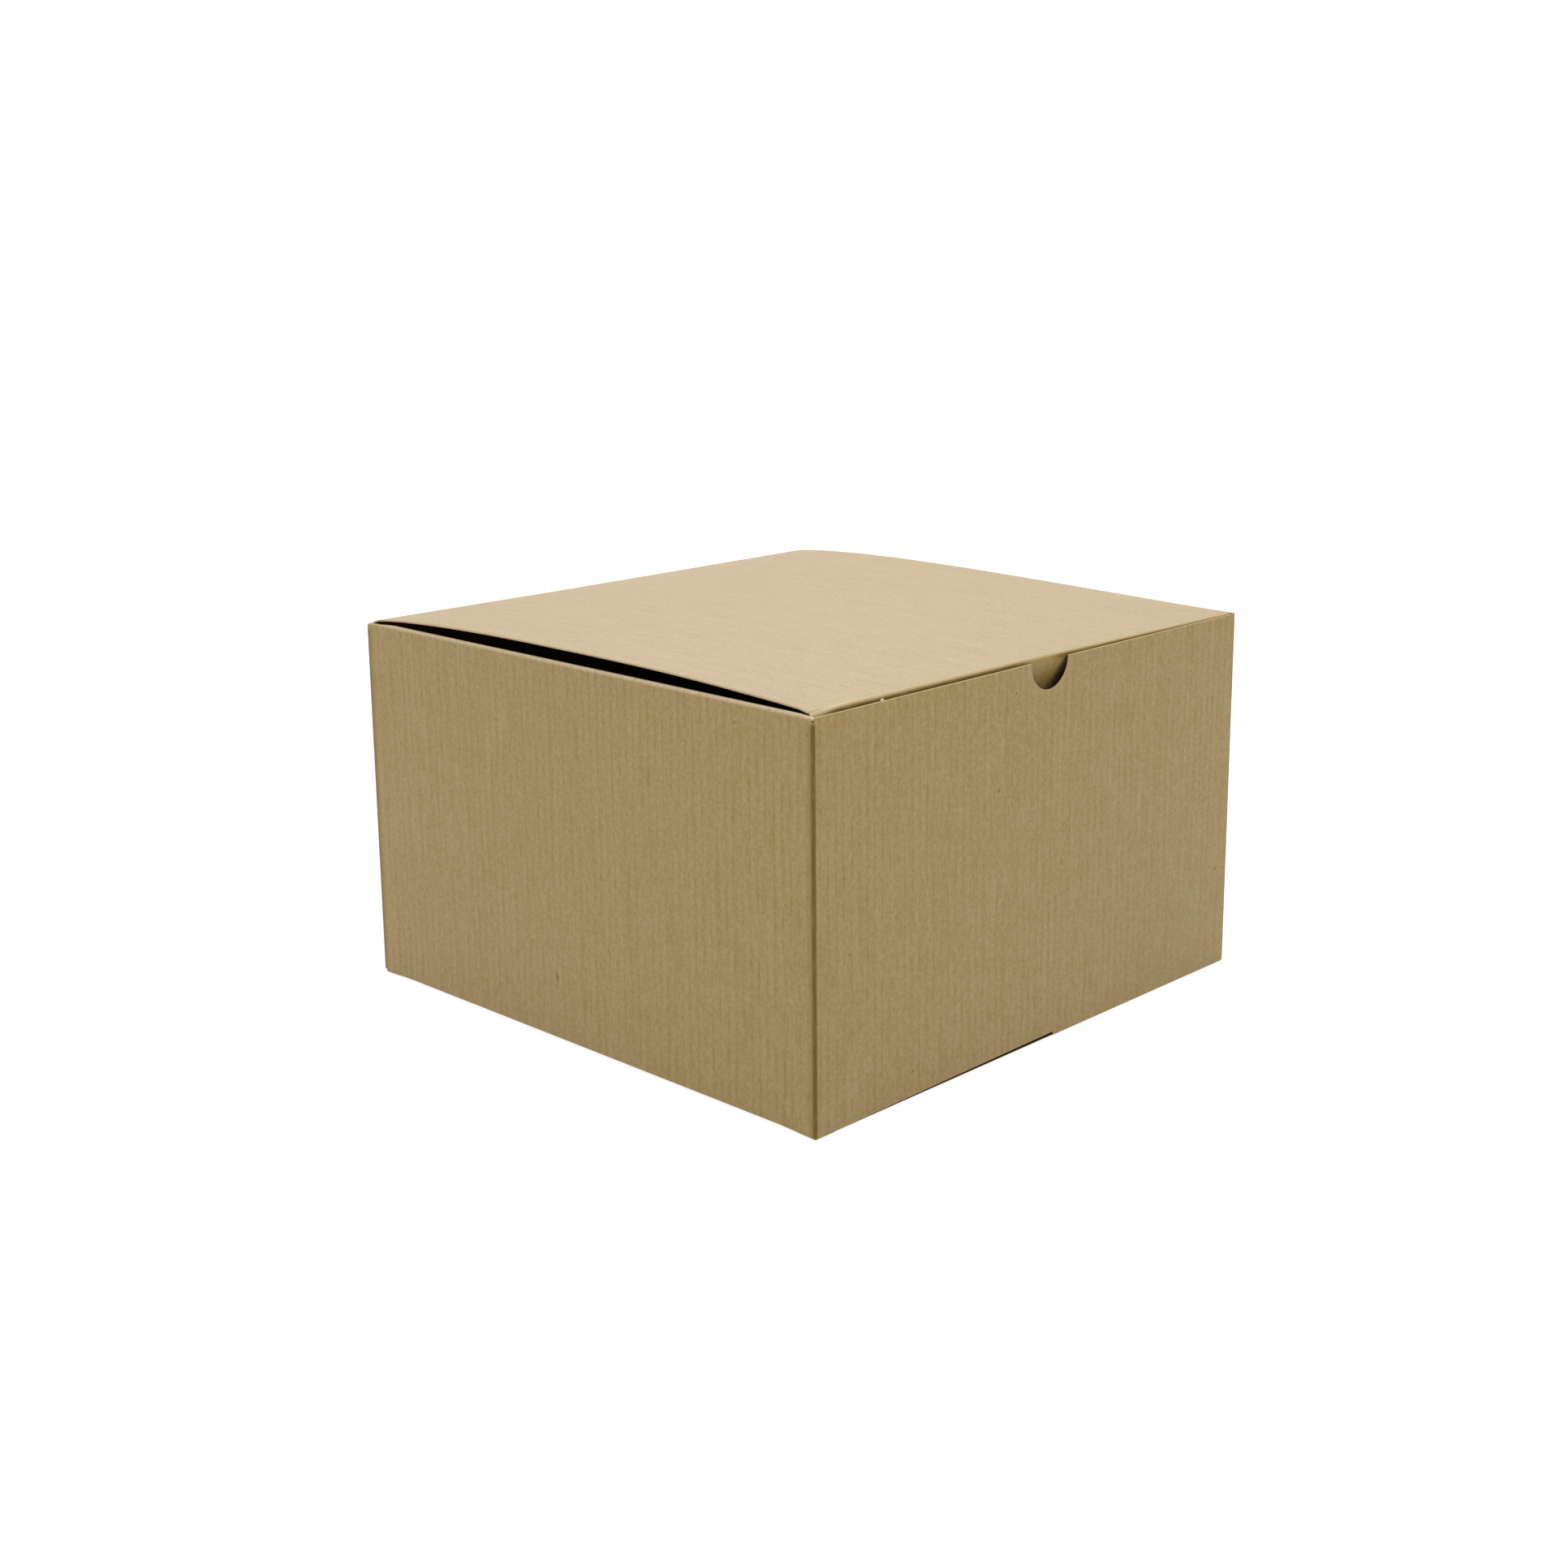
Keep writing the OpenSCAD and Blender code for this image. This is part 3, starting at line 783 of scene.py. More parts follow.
def ripple(piece, depth, low, high):
    """Sinks slow waves into a panel, dying out towards its edges."""
    sizes = board_sizes()
    texture = bpy.data.textures.new("ripple", "CLOUDS")
    texture.noise_scale = sizes.ripple_wave
    texture.noise_depth = 1
    weigh(piece, lambda point: soft_step(edge_distance(point, low, high), 0.0, sizes.ripple_fade))
    shape_with(
        piece, "DISPLACE", direction="NORMAL", mid_level=1.0, strength=depth, texture=texture,
        texture_coords="LOCAL", vertex_group="share",
    )
    piece.vertex_groups.clear()


def dress(piece, *names):
    """Gives a piece its finishes: outside, inside and cut edge for a board."""
    for name in names:
        piece.data.materials.append(finish(name))


def thicken(piece, offset=-1.0, even=True):
    """Gives a sheet the board's thickness, with the plain side inside and cut edges round it."""
    shape_with(
        piece, "SOLIDIFY", thickness=board_sizes().board, offset=offset, use_even_offset=even,
        material_offset=1, material_offset_rim=2,
    )


def smooth(piece, degrees=35):
    """Shades a piece smooth, and keeps its cut edges sharp."""
    select_only(piece)
    bpy.ops.object.shade_smooth_by_angle(angle=math.radians(degrees))


def hang(piece, body, slot, *nodes):
    """Lets a piece ride on a body in place of CAD nodes."""
    smooth(piece)
    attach(piece, body)
    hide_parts(*nodes)


def board_finishes(across):
    return f"printed_board_{across}", f"plain_board_{across}", "cut_edge"


def tuck_lean_way():
    """Direction of the tuck flap from its fold: down, and leaning into the box."""
    return Vector((0, math.sin(lid_sizes().tuck_lean), -math.cos(lid_sizes().tuck_lean)))


def dust_way(side):
    """Direction of a dust flap from its fold: into the box, and drooping. Side is -1 at the left."""
    return Vector((-side * math.cos(lid_sizes().dust_droop), 0, -math.sin(lid_sizes().dust_droop)))


def dust_corner(side):
    """Where the middle planes of a side wall and its dust flap cross."""
    rise = (WALL_MIDDLE - DUST_AXIS.x) * math.tan(lid_sizes().dust_droop)
    return Vector((side * WALL_MIDDLE, 0, DUST_AXIS.z + rise))


def bend_reach(radius, first, second):
    """How far a fold of a radius and its lip reach from the corner line of two directions."""
    turn = math.pi - first.angle(second)
    return radius * math.tan(turn / 2) + lid_sizes().lip


def dust_reach():
    return bend_reach(lid_sizes().dust_fold_r, -Z, dust_way(1))


def tuck_reach():
    return bend_reach(lid_sizes().tuck_fold_r, Y, tuck_lean_way())


# Walls

WALL_TURNS = {
    "front_wall": ((QUARTER, 0, 0), -Y, "X"),
    "back_wall": ((QUARTER, 0, math.pi), Y, "X"),
    "left_wall": ((QUARTER, 0, -QUARTER), -X, "Y"),
    "right_wall": ((QUARTER, 0, QUARTER), X, "Y"),
}


def cut_with(piece, cutter):
    """Cuts one mesh out of a board, and leaves the board's cut edge there."""
    for name in board_finishes("X"):
        cutter.data.materials.append(finish(name))
    for face in cutter.data.polygons:
        face.material_index = 2
    shape_with(piece, "BOOLEAN", operation="DIFFERENCE", solver="EXACT", object=cutter)
    bpy.data.objects.remove(cutter)


def cut_notch(wall):
    """Cuts the half-round thumb notch into the front wall."""
    sizes = board_sizes()
    centre = Vector((sizes.notch_shift, FRONT_LOW.y, FRONT_HIGH.z))
    turn = (QUARTER, 0, 0)
    cutter = add_tube("notch_cutter", centre, sizes.notch_r, CUTTER_DEPTH, turn, NOTCH_SIDES, "NGON")
    cut_with(wall, cutter)


def add_chip(name, depth):
    """Adds the three-sided chip of torn board, with its point up and its root in the wall."""
    sizes = board_sizes()
    middle = Vector((sizes.nick_x, (FRONT_LOW.y + FRONT_HIGH.y) / 2, FRONT_HIGH.z))
    chip = add_tube(name, middle, sizes.nick_w / 2, depth, (QUARTER, 0, 0), 3, "NGON")
    start_edit(chip)
    corners = [middle + Vector((x * sizes.nick_w, 0, z * sizes.nick_h)) for x, z in CHIP_CORNERS]
    columns = {}
    for vertex in bmesh.from_edit_mesh(chip.data).verts:
        columns.setdefault((round(vertex.co.x / MM, 2), round(vertex.co.z / MM, 2)), vertex.co.copy())
    places = sorted(columns.values(), key=lambda co: (co.z < middle.z, co.x))
    for place, corner in zip(places, corners):
        pick_points(chip, lambda point: abs(point.x - place.x) + abs(point.z - place.z) < 2 * TOUCH)
        bpy.ops.transform.translate(value=(corner.x - place.x, 0, corner.z - place.z))
    bpy.ops.object.mode_set(mode="OBJECT")
    return chip


def cut_nick(wall):
    """Cuts the small nick in the front wall's top edge, where the board tore when it was punched."""
    cut_with(wall, add_chip("nick_cutter", CUTTER_DEPTH))


def soften_top_edge(wall):
    """Rounds the front wall's cut top edge and the rim of its notch, where pale fibres show."""
    sizes = board_sizes()
    notch = Vector((sizes.notch_shift, FRONT_LOW.y, FRONT_HIGH.z))
    reach = sizes.notch_r + RIM_NEAR

    def on_rim(point):
        """Gives 1 on the outer rim of the top edge and of the notch."""
        in_notch = (Vector((point.x, FRONT_LOW.y, point.z)) - notch).length < reach
        on_face = point.y < FRONT_LOW.y + sizes.board / 2
        return 1.0 if on_face and (in_notch or point.z > FRONT_HIGH.z - RIM_NEAR / 2) else 0.0

    weigh(wall, on_rim)
    shape_with(
        wall, "BEVEL", width=sizes.edge_round, segments=2, material=2,
        limit_method="VGROUP", vertex_group="share",
    )
    wall.vertex_groups.clear()


def make_wall(name):
    """Models one wall from its CAD box, with slow waves in the board."""
    sizes = board_sizes()
    turn, outward, across = WALL_TURNS[name]
    low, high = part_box(name)
    if across == "Y":
        high.z = dust_corner(1).z - dust_reach()
    if name == "front_wall":
        low.z = SLIT_LIP
    span = high - low
    width = span.x if across == "X" else span.y
    centre = (low + high) / 2 + outward * (sizes.board / 2)
    wall = add_panel(name + "_board", centre, (width, span.z), turn, 2 * sizes.cell)
    dress(wall, *board_finishes(across))
    ripple(wall, sizes.ripple, low, high)
    thicken(wall)
    if name == "front_wall":
        cut_notch(wall)
        cut_nick(wall)
        soften_top_edge(wall)
    hang(wall, "tube", "kraft_board", name)


def make_torn_flake():
    """Models the pale flake of torn fibres that stands up from the nick."""
    sizes = board_sizes()
    flake = add_chip("torn_flake", sizes.board / 2)
    start_edit(flake)
    bpy.ops.mesh.select_all(action="SELECT")
    bpy.ops.mesh.subdivide(number_cuts=2, smoothness=0.3, fractal=0.02, seed=3)
    bpy.ops.object.mode_set(mode="OBJECT")
    dress(flake, "torn_fibre", "torn_fibre", "torn_fibre")
    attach(flake, "tube")


class GIFTBOX_OT_walls(bpy.types.Operator):
    """Models the four walls, with the thumb notch and the nick in the front one"""

    bl_idname = "giftbox.walls"
    bl_label = "Walls"

    def execute(self, context):
        for name in WALL_TURNS:
            make_wall(name)
        make_torn_flake()
        return {"FINISHED"}


# Set folds

UPRIGHT_FOLDS = {
    "front_left_crease": (-X, -Y),
    "front_right_crease": (X, -Y),
    "back_right_crease": (X, Y),
    "seam_crease": (-X, Y),
}
FOOT_FOLDS = {
    "front_bottom_crease": (-Y, -Z, "X"),
    "back_bottom_crease": (Y, -Z, "X"),
    "left_bottom_crease": (-X, -Z, "Y"),
    "right_bottom_crease": (X, -Z, "Y"),
}


def quarter_round(name, low, high, first, second):
    """Models a quarter-round fold in a box. It bends from one outward direction to another."""
    axis = first.cross(second)
    axis = Vector([abs(value) for value in axis])
    centre = Vector([
        (low[i] if (first + second)[i] > 0 else high[i]) if axis[i] == 0 else (low[i] + high[i]) / 2
        for i in range(3)
    ])
    depth = (high - low).dot(axis)
    turn = (0, 0, 0) if axis == Z else (QUARTER, 0, 0) if axis == Y else (0, QUARTER, 0)
    fold = add_tube(name, centre, FOLD_R, depth, turn, FOLD_SIDES)
    start_edit(fold)
    cut_away(centre, -first)
    cut_away(centre, -second)
    slice_along(low, high, axis, FOLD_SLICE)
    bpy.ops.object.mode_set(mode="OBJECT")
    return fold


def round_foot(fold, centre):
    """Carries an upright fold down to the floor, and draws its foot in to a quarter of a dome."""
    start_edit(fold)
    pick_points(fold, lambda point: point.z < FOLD_LOW.z + TOUCH)
    bpy.ops.mesh.extrude_region_move(TRANSFORM_OT_translate={"value": (0, 0, FOLD_R - FOLD_LOW.z)})
    for i in range(DOME_RINGS):
        turn, lower = (QUARTER * step / DOME_RINGS for step in (i, i + 1))
        drop = FOLD_R * (math.sin(turn) - math.sin(lower))
        bpy.ops.mesh.extrude_region_move(TRANSFORM_OT_translate={"value": (0, 0, drop)})
        draw = max(DOME_TIP, math.cos(lower)) / math.cos(turn)
        bpy.ops.transform.resize(value=(draw, draw, 1), center_override=centre)
    bpy.ops.mesh.merge(type="CENTER")
    bpy.ops.object.mode_set(mode="OBJECT")


def crumple(piece, depth, wave):
    """Dents a fold a little along its length."""
    texture = bpy.data.textures.new("crumple", "CLOUDS")
    texture.noise_scale = wave
    shape_with(
        piece, "DISPLACE", direction="NORMAL", mid_level=1.0, strength=depth, texture=texture,
        texture_coords="LOCAL",
    )


class GIFTBOX_OT_upright_folds(bpy.types.Operator):
    """Models the four upright set folds between the walls"""

    bl_idname = "giftbox.upright_folds"
    bl_label = "Upright Folds"

    def execute(self, context):
        for node, (first, second) in UPRIGHT_FOLDS.items():
            low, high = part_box(node)
            fold = quarter_round(node.replace("crease", "fold"), low, high, first, second)
            top = FRONT_HIGH.z - board_sizes().fold_top
            press(fold, "Z", top - FOLD_HIGH.z, lambda point: point.z > FOLD_HIGH.z - RIM_NEAR)
            centre = (first + second) * (-FRONT_LOW.y - FOLD_R)
            round_foot(fold, centre)
            crumple(fold, board_sizes().crumple, board_sizes().crumple_wave)
            rubbed = "rubbed_fold" if node == "front_left_crease" else "pressed_upright"
            dress(fold, rubbed, "plain_board_X", "cut_edge")
            thicken(fold, even=False)
            hang(fold, "tube", "pressed_fold", node)
        return {"FINISHED"}


def press_ends_down(fold, low, high):
    """Brings a side wall's foot down to the floor at both its ends."""
    start = FRONT_HIGH.x - board_sizes().foot_reach
    press(fold, "Z", -low.z, lambda p: (high.z - p.z) / FOLD_R * soft_step(abs(p.y), start, FRONT_HIGH.x))


def raise_front_lip(fold):
    """Carries the front foot fold up to where the front wall's board starts."""
    start_edit(fold)
    pick_points(fold, lambda point: point.z > FOLD_R - TOUCH)
    bpy.ops.mesh.extrude_region_move(TRANSFORM_OT_translate={"value": (0, 0, SLIT_LIP - FOLD_R)})
    bpy.ops.object.mode_set(mode="OBJECT")


def draw_back_slit(fold):
    """Draws the front wall's foot back over its left half: a slit that widens, coloured as a painted shadow,
    under a pale band that is a painted highlight.
    """
    sizes = board_sizes()
    start = Vector((sizes.slit_start, FRONT_LOW.y, sizes.slit_low))
    end = Vector((sizes.slit_end, FRONT_LOW.y, sizes.slit_h))
    upward = (end - start).cross(Y)
    step = Z * sizes.slit_step
    edge = Z * sizes.slit_highlight

    def below(point, line):
        """Tells whether a point in the slit's span lies under a line that runs beside the slit."""
        return sizes.slit_start < point.x < sizes.slit_end and (point - line).dot(upward) < 0

    start_edit(fold)
    cuts = [(start + rise, upward) for rise in (Z * 0, step, edge)]
    sides = [(place, X) for place in (start - X * sizes.slit_step, start, end, end + X * sizes.slit_step)]
    for place, normal in cuts + sides:
        bpy.ops.mesh.select_all(action="SELECT")
        bpy.ops.mesh.bisect(plane_co=place, plane_no=normal, threshold=SLIT_SNAP)
    pick_points(fold, lambda point: below(point - X * TOUCH, start + Z * TOUCH))
    bpy.ops.transform.translate(value=(0, sizes.slit_depth, 0))
    bpy.ops.object.mode_set(mode="OBJECT")
    # Faces in the slit take the painted shadow, and the band above them the cut edge's pale colour as a
    # painted highlight
    for face in fold.data.polygons:
        if below(face.center, start + step):
            face.material_index = 3
        elif below(face.center, start + edge):
            face.material_index = 2


class GIFTBOX_OT_foot_folds(bpy.types.Operator):
    """Models the folds along the foot of the walls, and the slit under the front one"""

    bl_idname = "giftbox.foot_folds"
    bl_label = "Foot Folds"

    def execute(self, context):
        for node, (first, second, across) in FOOT_FOLDS.items():
            low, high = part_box(node)
            along = X if across == "X" else Y
            low -= along * (FRONT_HIGH.x + low.dot(along))
            high += along * (FRONT_HIGH.x - high.dot(along))
            fold = quarter_round(node.replace("bottom_crease", "foot_fold"), low, high, first, second)
            if across == "Y":
                press_ends_down(fold, low, high)
            dress(fold, *board_finishes(across), "slit_board")
            if node == "front_bottom_crease":
                raise_front_lip(fold)
                draw_back_slit(fold)
            thicken(fold, even=node != "front_bottom_crease")
            hang(fold, "tube", "pressed_fold", node)
        return {"FINISHED"}


# Lid


def lid_share(point):
    """Share of the way from the lid's back edge to its front fold."""
    return min(1.0, max(0.0, (LID_HIGH.y - point.y) / (LID_HIGH.y - LID_LOW.y)))


def lid_bow_share(point):
    return math.sin(math.pi * lid_share(point) ** lid_sizes().bow_skew)


def across_share(point):
    """Share of the way from the lid's left edge to its right edge."""
    return (point.x - LID_LOW.x) / (LID_HIGH.x - LID_LOW.x)


def fall_share(point):
    """Share of the front fold's fall towards its right end."""
    return min(1.0, max(0.0, (point.x - lid_sizes().fall_start) / (LID_HIGH.x - lid_sizes().fall_start)))


def tip_share(point):
    """Share of the near corner's droop along the front fold."""
    gap = (point.x - LID_LOW.x) / lid_sizes().corner_reach
    return max(0.0, 1 - gap) ** 2


def tip_depth_share(point):
    """Share of the near corner's droop along the lid's left side."""
    gap = (1 - lid_share(point)) * (LID_HIGH.y - LID_LOW.y) / lid_sizes().corner_depth
    return max(0.0, 1 - gap) ** 2


def right_drop_share(point):
    """Share of the flatter bow towards the lid's right edge."""
    return across_share(point) ** RIGHT_DROP_POWER * math.sin(math.pi * lid_share(point))


def swell_share(point):
    """Share of the extra bow at the lid's left front."""
    off_peak = abs(lid_share(point) - lid_sizes().swell_place) / lid_sizes().swell_spread
    return (1 - across_share(point)) * soft_step(1 - off_peak, 0, 1)


def fill_share(point):
    """Share of the fuller bow at the lid's left edge: most near the folds, none at the peak."""
    bow = max(0.0, lid_bow_share(point))
    root = soft_step(LID_HIGH.y - point.y, 0.0, board_sizes().cell)
    return (1 - across_share(point)) ** 2 * (math.sqrt(bow) - bow) * root


def bend_as_lid(piece):
    """Bends a sheet as the lid: its slope, its bow, its lower right side and its bent tip."""
    sizes = lid_sizes()
    press(piece, "Z", LID_AXIS.z - TUCK_AXIS.z, lambda point: 1 - lid_share(point))
    press(piece, "Z", sizes.bow, lid_bow_share)
    press(piece, "Z", -sizes.right_drop, right_drop_share)
    press(piece, "Z", -sizes.right_fall, lambda point: fall_share(point) * lid_share(point))
    press(piece, "Z", sizes.left_swell, swell_share)
    press(piece, "Z", sizes.left_fill, fill_share)
    press(piece, "Z", -sizes.corner_droop, lambda point: tip_share(point) * tip_depth_share(point))


def make_lid():
    """Models the lid: one sheet, bowed between its folds, lower at the right, and bent at the near tip."""
    sizes = lid_sizes()
    low = Vector((LID_LOW.x, TUCK_AXIS.y + tuck_reach(), TUCK_AXIS.z))
    high = Vector((LID_HIGH.x, LID_HIGH.y - sizes.lid_root, TUCK_AXIS.z))
    span = high - low
    lid = add_panel("lid_board", (low + high) / 2, (span.x, span.y), (0, 0, 0), board_sizes().cell)
    start_edit(lid)
    pick_points(lid, lambda point: LID_HIGH.x - abs(point.x) < MM and high.y - point.y < MM)
    bpy.ops.mesh.bevel(offset=sizes.corner_cut, segments=3, affect="VERTICES")
    dress(lid, *board_finishes("X"))
    bend_as_lid(lid)
    ripple(lid, sizes.lid_ripple, low, high)
    thicken(lid, 0.0)
    hang(lid, "lid", "kraft_board", "lid_panel")


def follow_front_fold(piece):
    """Lets a piece follow the lid's front fold where it falls to the right and droops at the near tip."""
    sizes = lid_sizes()
    press(piece, "Z", -sizes.right_fall, fall_share)
    press(piece, "Z", -sizes.corner_droop, tip_share)


def round_corner(piece, corner, radius, inner_angle):
    """Rounds one corner of a flat sheet in edit mode to a radius."""
    pick_points(piece, lambda point: (point - corner).length < CORNER_NEAR)
    offset = radius / math.tan(inner_angle / 2)
    bpy.ops.mesh.bevel(
        offset=offset, offset_type="OFFSET", segments=CORNER_STEPS, affect="VERTICES", profile=0.5
    )


def make_tuck_flap():
    """Models the tuck flap: tapered, with round free corners, leaning and bellying into the box."""
    sizes = lid_sizes()
    root = tuck_reach()
    down = tuck_lean_way()
    span = sizes.tuck_len - root
    top = TUCK_AXIS + down * root
    tip = TUCK_AXIS + down * sizes.tuck_len
    width = TUCK_HIGH.x - TUCK_LOW.x
    flap = add_panel("tuck_flap_board", (top + tip) / 2, (width, span), (QUARTER + sizes.tuck_lean, 0, 0))
    start_edit(flap)
    pick_points(flap, lambda point: point.z < (top.z + tip.z) / 2)
    tip_width = width - 2 * span * math.tan(sizes.tuck_taper)
    bpy.ops.transform.resize(value=(tip_width / width, 1, 1), center_override=tip)
    for side in (-1, 1):
        round_corner(flap, tip + X * (side * tip_width / 2), sizes.tuck_corner, QUARTER + sizes.tuck_taper)
    slice_along(TUCK_LOW, TUCK_HIGH, X, FOLD_SLICE)
    slice_along(TUCK_LOW, TUCK_HIGH, Z, TUCK_SLICE)
    bpy.ops.object.mode_set(mode="OBJECT")
    dress(flap, *board_finishes("X"))

    def belly_share(point):
        """Share of the belly: none along the flap's edges, all at its middle."""
        return math.sin(math.pi * (TUCK_AXIS.z - point.z) / span) * (1 - (2 * point.x / width) ** 2)

    press(flap, "Y", sizes.tuck_belly, belly_share)
    follow_front_fold(flap)
    thicken(flap, 0.0)
    hang(flap, "tuck", "kraft_board", "tuck_flap")


class GIFTBOX_OT_lid(bpy.types.Operator):
    """Models the lid and its tuck flap"""

    bl_idname = "giftbox.lid"
    bl_label = "Lid and Tuck Flap"

    def execute(self, context):
        make_lid()
        make_tuck_flap()
        return {"FINISHED"}


# Dust flaps


def make_dust_flap(name, side):
    """Models one dust flap, drooping from its fold into the box. Its printed side is on top."""
    sizes = lid_sizes()
    inward = dust_way(side)
    axis = Vector((side * DUST_AXIS.x, 0, DUST_AXIS.z))
    root = dust_reach() - (dust_corner(side) - axis).length
    span = sizes.dust_len - root
    middle = axis + inward * (root + span / 2) + Y * ((DUST_LOW.y + DUST_HIGH.y) / 2)
    width = DUST_HIGH.y - DUST_LOW.y
    flap = add_panel(name + "_board", middle, (span, width), (0, -side * sizes.dust_droop, 0))
    tip = axis + inward * sizes.dust_len
    front = Vector((tip.x, DUST_LOW.y + span * math.tan(sizes.dust_front_taper), tip.z))
    back = Vector((tip.x, DUST_HIGH.y - span * math.tan(sizes.dust_back_taper), tip.z))
    start_edit(flap)
    for old, new in ((DUST_LOW.y, front), (DUST_HIGH.y, back)):
        pick_points(flap, lambda p: abs(p.x - tip.x) < MM and abs(p.y - old) < MM)
        bpy.ops.transform.translate(value=(0, new.y - old, 0))
    round_corner(flap, front, sizes.dust_corner, QUARTER + sizes.dust_front_taper)
    round_corner(flap, back, sizes.dust_corner, QUARTER + sizes.dust_back_taper)
    low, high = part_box(name)
    slice_along(low, high, X, DUST_SLICE)
    slice_along(low, high, Y, DUST_SLICE)
    bpy.ops.object.mode_set(mode="OBJECT")
    dress(flap, *board_finishes("Y"))
    thicken(flap, 0.0)
    hang(flap, name.replace("_flap", ""), "kraft_board", name)


class GIFTBOX_OT_dust_flaps(bpy.types.Operator):
    """Models the two dust flaps"""

    bl_idname = "giftbox.dust_flaps"
    bl_label = "Dust Flaps"

    def execute(self, context):
        make_dust_flap("left_dust_flap", -1)
        make_dust_flap("right_dust_flap", 1)
        return {"FINISHED"}


# Moving folds


def bend_sheet(name, corner, width, radius, lips, across):
    """Bends a strip of board round a corner line. Each lip is a direction from the corner and a length."""
    (first, first_reach), (second, second_reach) = lips
    outward = (first * first.dot(second) - second).normalized()
    along = outward.cross(first)
    turn = Matrix((along, -first, outward)).transposed().to_euler()
    strip = add_panel(name, corner + first * (first_reach / 2), (width, first_reach), turn)
    start_edit(strip)
    pick_points(strip, lambda point: (point - corner).dot(first) < TOUCH)
    bpy.ops.mesh.extrude_region_move(TRANSFORM_OT_translate={"value": second * second_reach})
    pick_points(strip, lambda point: (point - corner).cross(along).length < TOUCH)
    reach = bend_reach(radius, first, second) - lid_sizes().lip
    bpy.ops.mesh.bevel(
        offset=reach, offset_type="OFFSET", segments=CORNER_STEPS, affect="EDGES", profile=0.5
    )
    axis = Vector([abs(value) for value in along])
    slice_along(corner - axis * (width / 2), corner + axis * (width / 2), axis, BEND_SLICE)
    bpy.ops.object.mode_set(mode="OBJECT")
    dress(strip, *board_finishes(across))
    return strip


def hang_fold(strip, node):
    """Thickens a fold's strip, shades it smooth and puts it in place of a CAD fold."""
    thicken(strip, 0.0)
    smooth(strip)
    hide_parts(node)
    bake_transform(strip)


def make_lid_fold():
    """Models the lid's hinge fold along the back wall's top."""
    sizes = lid_sizes()
    corner = Vector((0, WALL_MIDDLE, LID_AXIS.z))
    wall_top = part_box("back_wall")[1].z
    lips = ((-Z, corner.z - wall_top), (-Y, corner.y - LID_HIGH.y + sizes.lid_root))
    low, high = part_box("lid_crease")
    strip = bend_sheet("lid_fold", corner, high.x - low.x, sizes.lid_fold_r, lips, "X")
    press(strip, "Z", sizes.bow, lid_bow_share)
    hang_fold(strip, "lid_crease")


def make_tuck_fold():
    """Models the fold between the lid and its tuck flap, with painted shade and a painted highlight on its
    outer side.
    """
    sizes = lid_sizes()
    lips = ((Y, tuck_reach()), (tuck_lean_way(), tuck_reach()))
    span = LID_HIGH.x - LID_LOW.x - sizes.corner_cut
    strip = bend_sheet("tuck_fold", TUCK_AXIS, span, sizes.tuck_fold_r, lips, "X")
    bend_as_lid(strip)
    hang_fold(strip, "tuck_crease")
    # The strip's outer side takes the tuck's painted shade and highlight
    dress(strip, "tuck_band")
    for face in strip.data.polygons:
        if face.material_index == 0:
            face.material_index = 3


def corner_share(point):
    """Share of a corner's radius by which a piece draws in to follow the upright folds' quarter round."""
    past = min(1.0, max(0.0, (abs(point.y) + FRONT_LOW.y + FOLD_R) / FOLD_R))
    return 1 - math.sqrt(1 - past * past)


def make_dust_fold(name, side):
    """Models the fold over a side wall. It forms the round shoulder that runs into both corners."""
    sizes = lid_sizes()
    corner = dust_corner(side)
    lips = ((-Z, dust_reach()), (dust_way(side), dust_reach()))
    strip = bend_sheet(f"{name}_fold", corner, 2 * WALL_MIDDLE, sizes.dust_fold_r, lips, "Y")
    # The outer side takes the ridge's painted highlight
    strip.data.materials[0] = finish("worn_ridge")
    press(strip, "X", -side * FOLD_R, corner_share)
    root = corner.z - dust_reach()

    def dip(depth, way, reach, flat):
        """Dips the shoulder at its end that lies along a way. The last flat stretch dips evenly."""
        press(
            strip, "Z", -depth,
            lambda point: min(1.0, (point.z - root) / dust_reach())
            * soft_step(way * point.y, WALL_MIDDLE - reach, WALL_MIDDLE - flat),
        )

    board = board_sizes()
    dip(board.back_dip, 1, board.shoulder_back, board.shoulder_flat)
    if side < 0:
        dip(board.shoulder_dip, -1, board.shoulder_reach, 0.0)
    hang_fold(strip, f"{name}_crease")


class GIFTBOX_OT_moving_folds(bpy.types.Operator):
    """Models the folds that turn: the lid's, the tuck flap's and the two dust flaps'"""

    bl_idname = "giftbox.moving_folds"
    bl_label = "Moving Folds"

    def execute(self, context):
        make_lid_fold()
        make_tuck_fold()
        make_dust_fold("left_dust", -1)
        make_dust_fold("right_dust", 1)
        return {"FINISHED"}


# Bottom and glue: these CAD solids have the right shape, and get their finish

CARRIED_FINISHES = {
    "front_bottom_flap": "plain_board_X",
    "back_bottom_flap": "plain_board_X",
    "front_glue_tab": "plain_board_X",
    "back_glue_tab": "plain_board_X",
    "left_bottom_flap": "plain_board_Y",
    "right_bottom_flap": "plain_board_Y",
    "seam_tab": "plain_board_Y",
    "front_diagonal_crease": "pressed_upright",
    "back_diagonal_crease": "pressed_upright",
    "seam_glue": "dried_glue",
    "front_tab_glue": "dried_glue",
    "back_tab_glue": "dried_glue",
}


class GIFTBOX_OT_bottom(bpy.types.Operator):
    """Finishes the folded bottom, the glued tabs and the films of glue"""

    bl_idname = "giftbox.bottom"
    bl_label = "Bottom and Glue"

    def execute(self, context):
        for node, name in CARRIED_FINISHES.items():
            piece = frame["nodes"][node]
            piece.data.materials.clear()
            piece.data.materials.append(finish(name))
        return {"FINISHED"}


# Studio


